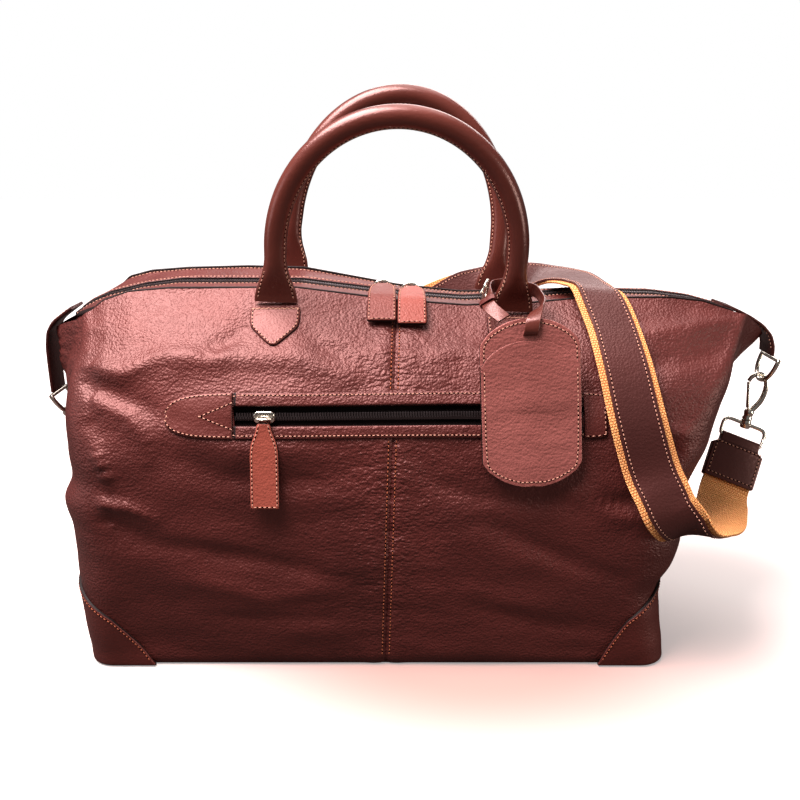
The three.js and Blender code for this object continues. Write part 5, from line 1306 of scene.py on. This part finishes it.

# The tag's strap: its route is listed, with a place and the way that its width points
tagStrapLook = {"half": 5, "thickness": 1.4, "gap": 0.35, "keeperAt": 32, "buckleAt": 28, "keeperHalf": 0.6,
                "keeperWidth": 2.5, "buckleWire": 1.1, "buckleHalf": 6.0, "prong": 0.7}
tagStations = [
    [104.9, -90, 254.9, 1, 0, 0.03], [104.9, -96.4, 256.5, 1, 0, 0.03], [105.3, -100.2, 260.5, 1, 0, 0],
    [106.5, -98.2, 268.5, 0.98, 0, 0.2], [110, -88, 274, 0.85, 0, 0.5], [115, -74, 275, 0.5, 0, 0.85],
    [117, -60, 276.5, 0.1, -0.2, 1], [114, -43, 280.2, -0.1, 0, 1], [98, -36, 283, 0, 0, 1],
    [86, -39.5, 283, 0, 0, 1], [81.6, -47, 281, 0.1, 0, 1], [79, -59, 278, 0.6, 0, 0.8],
    [79, -70, 273, 0.8, 0, 0.5], [88, -83, 266, 0.95, 0, 0.2],
]

def addTagStrap():
    values = tagStrapLook
    section = flatSection(values["half"], 0.02, values["thickness"], 0.5)
    sweep("tag_strap", strapFrames(tagStations, 181), section, "handle", body="luggage_tag")
    coarse = strapFrames(tagStations, 37)
    addKeeper(*(part[values["keeperAt"]] for part in coarse))
    addBuckle(*(part[values["buckleAt"]] for part in coarse))

# A sewn loop round the strap at p; w, n and along are the strap's directions there
def addKeeper(p, w, n, along):
    values = tagStrapLook
    leatherHalf = values["keeperHalf"]
    wide = values["half"] + values["gap"] + leatherHalf
    high, low = values["thickness"] + 0.7 + leatherHalf, -0.7 - leatherHalf
    outline = [(-wide, low), (0, low), (wide, low), (wide, high), (0, high), (-wide, high)]
    points = smoothLoop([p + a * w + b * n for a, b in outline], rounds=1)
    section = flatSection(values["keeperWidth"], -leatherHalf, leatherHalf, 0.4)
    sweep("tag_keeper", framesAlong(points, along, closed=True), section, "trim", closed=True,
          body="luggage_tag")

def addBuckle(p, w, n, along):
    values = tagStrapLook
    wire, gap, rod = values["buckleWire"], values["gap"], values["prong"]
    lift = values["thickness"] + 3 * gap + wire
    wide, long = values["half"] + wire + 0.6, values["buckleHalf"]
    outline = [(-wide, -long), (0, -long), (wide, -long), (wide, 0), (wide, long), (0, long), (-wide, long),
               (-wide, 0)]
    points = smoothLoop([p + a * w + b * along + lift * n for a, b in outline], rounds=2)
    sweep("tag_buckle", framesAlong(points, n, closed=True), roundSection(wire), "nickel", closed=True,
          body="luggage_tag")
    over = lift + wire + gap + rod
    prong = np.array([p + b * along + over * n for b in np.linspace(-long - 0.4, long + 1.5, 7)])
    sweep("tag_prong", framesAlong(prong, w), roundSection(rod), "nickel", body="buckle_prong")

addTagLeathers()
sewTag()
addTagStrap()
print("tag made")

# One node tree places beads along routes: thread or zip teeth, turned along the route and its surface
def beadTree():
    tree = bpy.data.node_groups.new("beads_along_routes", "GeometryNodeTree")
    tree.interface.new_socket("Geometry", in_out="OUTPUT", socket_type="NodeSocketGeometry")
    for name, kind in (("Geometry", "Geometry"), ("Pitch", "Float"), ("Size", "Vector"), ("Block", "Bool"),
                       ("Material", "Material")):
        tree.interface.new_socket(name, in_out="INPUT", socket_type="NodeSocket" + kind)
    given = addNode(tree, "NodeGroupInput").outputs
    curve = addNode(tree, "GeometryNodeMeshToCurve", {"Mesh": given["Geometry"]})
    spaced = addNode(tree, "GeometryNodeResampleCurve", {"Curve": curve.outputs[0], "Length": given["Pitch"]},
                     mode="LENGTH")
    ball = addNode(tree, "GeometryNodeMeshUVSphere", {"Segments": 8, "Rings": 6, "Radius": 0.5})
    cube = addNode(tree, "GeometryNodeMeshCube", {"Size": (1.0, 1.0, 1.0)})
    bead = addNode(tree, "GeometryNodeSwitch", {
        "Switch": given["Block"], "False": ball.outputs[0], "True": cube.outputs[0]}, input_type="GEOMETRY")
    facing = addNode(tree, "GeometryNodeInputNamedAttribute", {"Name": "face"}, data_type="FLOAT_VECTOR")
    tangent = addNode(tree, "GeometryNodeInputTangent")
    turned = addNode(tree, "FunctionNodeAlignRotationToVector", {"Vector": tangent.outputs[0]}, axis="X")
    level = addNode(tree, "FunctionNodeAlignRotationToVector", {
        "Rotation": turned.outputs[0], "Vector": facing.outputs[0]}, axis="Z", pivot_axis="X")
    placed = addNode(tree, "GeometryNodeInstanceOnPoints", {
        "Points": spaced.outputs[0], "Instance": bead.outputs[0], "Rotation": level.outputs[0],
        "Scale": given["Size"]})
    real = addNode(tree, "GeometryNodeRealizeInstances", {"Geometry": placed.outputs[0]})
    painted = addNode(tree, "GeometryNodeSetMaterial", {
        "Geometry": real.outputs[0], "Material": given["Material"]})
    addNode(tree, "NodeGroupOutput", {0: painted.outputs[0]})
    return tree

beads = beadTree()
beadInputs = {item.name: item.identifier for item in beads.interface.items_tree if item.in_out == "INPUT"}

def addBeads(name, routes, look, body, pitch, size, block=False):
    points, facings, edges = [], [], []
    for route, facing in routes:
        start = len(points)
        points += (np.asarray(route) * mm).tolist()
        facings += np.asarray(facing).tolist()
        edges += [(start + k, start + k + 1) for k in range(len(route) - 1)]
    mesh = bpy.data.meshes.new(name + "_route")
    mesh.from_pydata(points, edges, [])
    attribute = mesh.attributes.new("face", "FLOAT_VECTOR", "POINT")
    attribute.data.foreach_set("vector", np.asarray(facings, np.float32).ravel())
    source = bpy.data.objects.new(name + "_route", mesh)
    bpy.context.scene.collection.objects.link(source)
    modifier = source.modifiers.new("beads", "NODES")
    modifier.node_group = beads
    values = {"Pitch": pitch * mm, "Size": [v * mm for v in size], "Block": block,
              "Material": materials[look]}
    for key, value in values.items():
        modifier[beadInputs[key]] = value
    made = bpy.data.meshes.new_from_object(source.evaluated_get(bpy.context.evaluated_depsgraph_get()))
    bpy.data.objects.remove(source)
    made.name = name
    if block:
        made.shade_flat()
    else:
        made.shade_smooth()
    showPiece(name, made, body)

# The needle holes lie half a stitch further on; each holds a dark disc, painted shade in the hole
def holesOf(route, facing):
    lengths = lengthsAlong(route)
    offset = stitchLook["pitch"] / 2
    at = np.linspace(offset, lengths[-1] - offset, len(route))
    turned = routeAt(facing, lengths, at)
    return routeAt(route, lengths, at) + turned * stitchLook["holeLift"], turned

for (body, thread), routes in stitchLines.items():
    sewn = [(route + facing * stitchLook["threadLift"], facing) for route, facing in routes]
    addBeads(f"stitches_{body}_{thread}", sewn, thread, body, stitchLook["pitch"], stitchLook["thread"])
    long = [pair for pair in routes if lengthsAlong(pair[0])[-1] >= stitchLook["pitch"]]
    hole_shades = [holesOf(route, facing) for route, facing in long]
    addBeads(f"holes_{body}_{thread}", hole_shades, "hole", body, stitchLook["pitch"], stitchLook["hole"])

# Zip teeth run along the ridge between the tapes, and in the pocket's slot
teethLook = {"pitch": 1.9, "size": (1.15, 2.9, 1.5), "apart": 1.25, "sunk": 0.9}

def zipRoutes():
    x = np.linspace(-244, 284, 260)
    main = np.stack([x, 0 * x, tableAt(ridge, x) - teethLook["sunk"]], -1)
    across = np.linspace(pocketLeft + 1, pocketRight - 1, 200)
    base, normal = baseOfFace(0, across, np.full(200, pocketZipHeight))
    return (main, (0, 0, 1)), (base - normal * teethLook["sunk"], (0, -1, 0))

for k, (route, facing) in enumerate(zipRoutes()):
    across = unit(np.cross(np.gradient(route, axis=0), facing)) * teethLook["apart"]
    for word, row in (("low", (route - across)[1:]), ("high", route + across)):
        facings = np.broadcast_to(np.asarray(facing, float), row.shape)
        addBeads(f"teeth_{k}_{word}", [(row, facings)], "zipTeeth", "bag", teethLook["pitch"],
                 teethLook["size"], block=True)
print("stitches and zip teeth made")

# The CAD pieces that stay as they are take their finishes
cadLooks = {
    "base_panel": "dark", "base_board": "board", "lining": "lining", "zip_tape_front": "zipTape",
    "zip_tape_back": "zipTape", "zip_chain": "zipTeeth", "pocket_zip": "zipTape", "front_handle_core": "rope",
    "back_handle_core": "rope",
}
for name, look in cadLooks.items():
    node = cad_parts[name]
    node.data.materials.clear()
    node.data.materials.append(materials[look])

# The photo's camera: near eye height of a seated person, tipped down 16 degrees
cameraLook = {"place": (0.0143, -0.700, 0.384), "tip": 0.28, "lens": 39.735}
camera = bpy.data.objects.new("camera", bpy.data.cameras.new("camera"))
camera.location = cameraLook["place"]
camera.rotation_euler = (math.pi / 2 - cameraLook["tip"], 0, 0)
camera.data.lens = cameraLook["lens"]
camera.data.clip_start = 0.01
bpy.context.scene.collection.objects.link(camera)
bpy.context.scene.camera = camera
bpy.context.scene.view_settings.view_transform = "Standard"

# White sweep under the bag; it and the room look whiter to the camera than the light they give. The sweep's
# seen colour is pinkish, so that shade on it takes a painted red bounce from the bag
roomLook = {"seen": 1.0, "given": 0.16, "floorSeen": "#dccdc9", "floorGiven": "#4a4240", "clearFrom": 0.45,
            "clearBy": 1.0, "lift": 0.34, "paintedShadowColour": "#9a6a5d", "paintedShadowSpot": (0.04, -0.1, 0.0),
            "paintedShadowFrom": 0.03, "paintedShadowBy": 0.19, "paintedShadowSqueeze": (0.55, 1, 1)}

# Matt paper: close in front of the bag it is painted a darker pink, a painted shadow with the bag's red
# bounce in it, and it glows to pure white further out; close by, the glow stays at the lift, painted light
# that lightens the real shadow
def paperMaterial(name, look):
    material = plainMaterial(name, look["floorSeen"], 0.9, gloss=0.0)
    tree = material.node_tree
    at = addNode(tree, "ShaderNodeTexCoord").outputs["Object"]
    seen = addNode(tree, "ShaderNodeLightPath").outputs["Is Camera Ray"]
    drawn = addNode(tree, "ShaderNodeMapping", {"Vector": at, "Scale": look["paintedShadowSqueeze"]})
    spot = addNode(tree, "ShaderNodeVectorMath", {0: drawn.outputs[0], 1: look["paintedShadowSpot"]},
                   operation="DISTANCE")
    pastPaintedShadow = addNode(tree, "ShaderNodeMapRange", {
        "Value": spot.outputs["Value"], "From Min": look["paintedShadowFrom"], "From Max": look["paintedShadowBy"]},
        interpolation_type="SMOOTHSTEP")
    # Painted shadow: the paper turns darker pink close in front of the bag
    paper = addNode(tree, "ShaderNodeMix", {
        0: pastPaintedShadow.outputs[0], 6: linear(look["paintedShadowColour"]), 7: linear(look["floorSeen"])}, data_type="RGBA")
    tone = addNode(tree, "ShaderNodeMix", {
        0: seen, 6: linear(look["floorGiven"]), 7: paper.outputs[2]}, data_type="RGBA")
    away = addNode(tree, "ShaderNodeVectorMath", {0: at}, operation="LENGTH")
    clear = addNode(tree, "ShaderNodeMapRange", {
        "Value": away.outputs["Value"], "From Min": look["clearFrom"], "From Max": look["clearBy"],
        "To Min": look["lift"]}, interpolation_type="SMOOTHSTEP")
    glow = addNode(tree, "ShaderNodeMath", {0: clear.outputs[0], 1: seen}, operation="MULTIPLY")
    setInputs(tree, tree.nodes["Principled BSDF"], {
        "Base Color": tone.outputs[2], "Emission Color": (1, 1, 1, 1), "Emission Strength": glow.outputs[0]})
    return material

def addFloor():
    floor = bpy.data.objects.new("floor", bpy.data.meshes.new("floor"))
    corners = [(-6, -6, -0.001), (6, -6, -0.001), (6, 6, -0.001), (-6, 6, -0.001)]
    floor.data.from_pydata(corners, [], [(0, 1, 2, 3)])
    floor.data.materials.append(paperMaterial("white_sweep", roomLook))
    bpy.context.scene.collection.objects.link(floor)

def addRoom():
    world = bpy.data.worlds.new("room")
    bpy.context.scene.world = world
    world.use_nodes = True
    tree = world.node_tree
    seen = addNode(tree, "ShaderNodeLightPath").outputs["Is Camera Ray"]
    power = addNode(tree, "ShaderNodeMapRange", {
        "Value": seen, "To Min": roomLook["given"], "To Max": roomLook["seen"]})
    setInputs(tree, tree.nodes["Background"], {"Color": (1, 1, 1, 1), "Strength": power.outputs[0]})

# Each lamp: place, target, size in metres, power in watts and colour
lamps = {
    "overhead softbox": ((-0.42, -0.28, 1.25), (0, -0.05, 0.15), (0.9, 0.8), 54, "#fff3f2"),
    "ceiling": ((-0.1, 0.15, 1.6), (0, -0.05, 0.15), (1.6, 1.2), 18, "#fff4f3"),
    "rear softbox": ((0.35, 1.2, 1.1), (0, 0, 0.2), (1.2, 0.6), 10, "#fff4f2"),
    "left wall": ((-1.6, -0.4, 0.35), (0, 0, 0.15), (0.6, 0.9), 4, "#f6f4f6"),
    "right card": ((1.25, -0.55, 0.3), (0.28, -0.05, 0.13), (0.3, 0.6), 6, "#fff6ea"),
}

def addLamp(name, at, target, size, power, colour):
    data = bpy.data.lights.new(name, "AREA")
    data.shape = "RECTANGLE"
    data.size, data.size_y = size
    data.energy = power
    data.color = linear(colour)[:3]
    lamp = bpy.data.objects.new(name, data)
    lamp.location = at
    lamp.rotation_euler = (Vector(target) - Vector(at)).to_track_quat("-Z", "Y").to_euler()
    bpy.context.scene.collection.objects.link(lamp)

addFloor()
addRoom()
for name, values in lamps.items():
    addLamp(name, *values)
print("camera, room and lamps made")
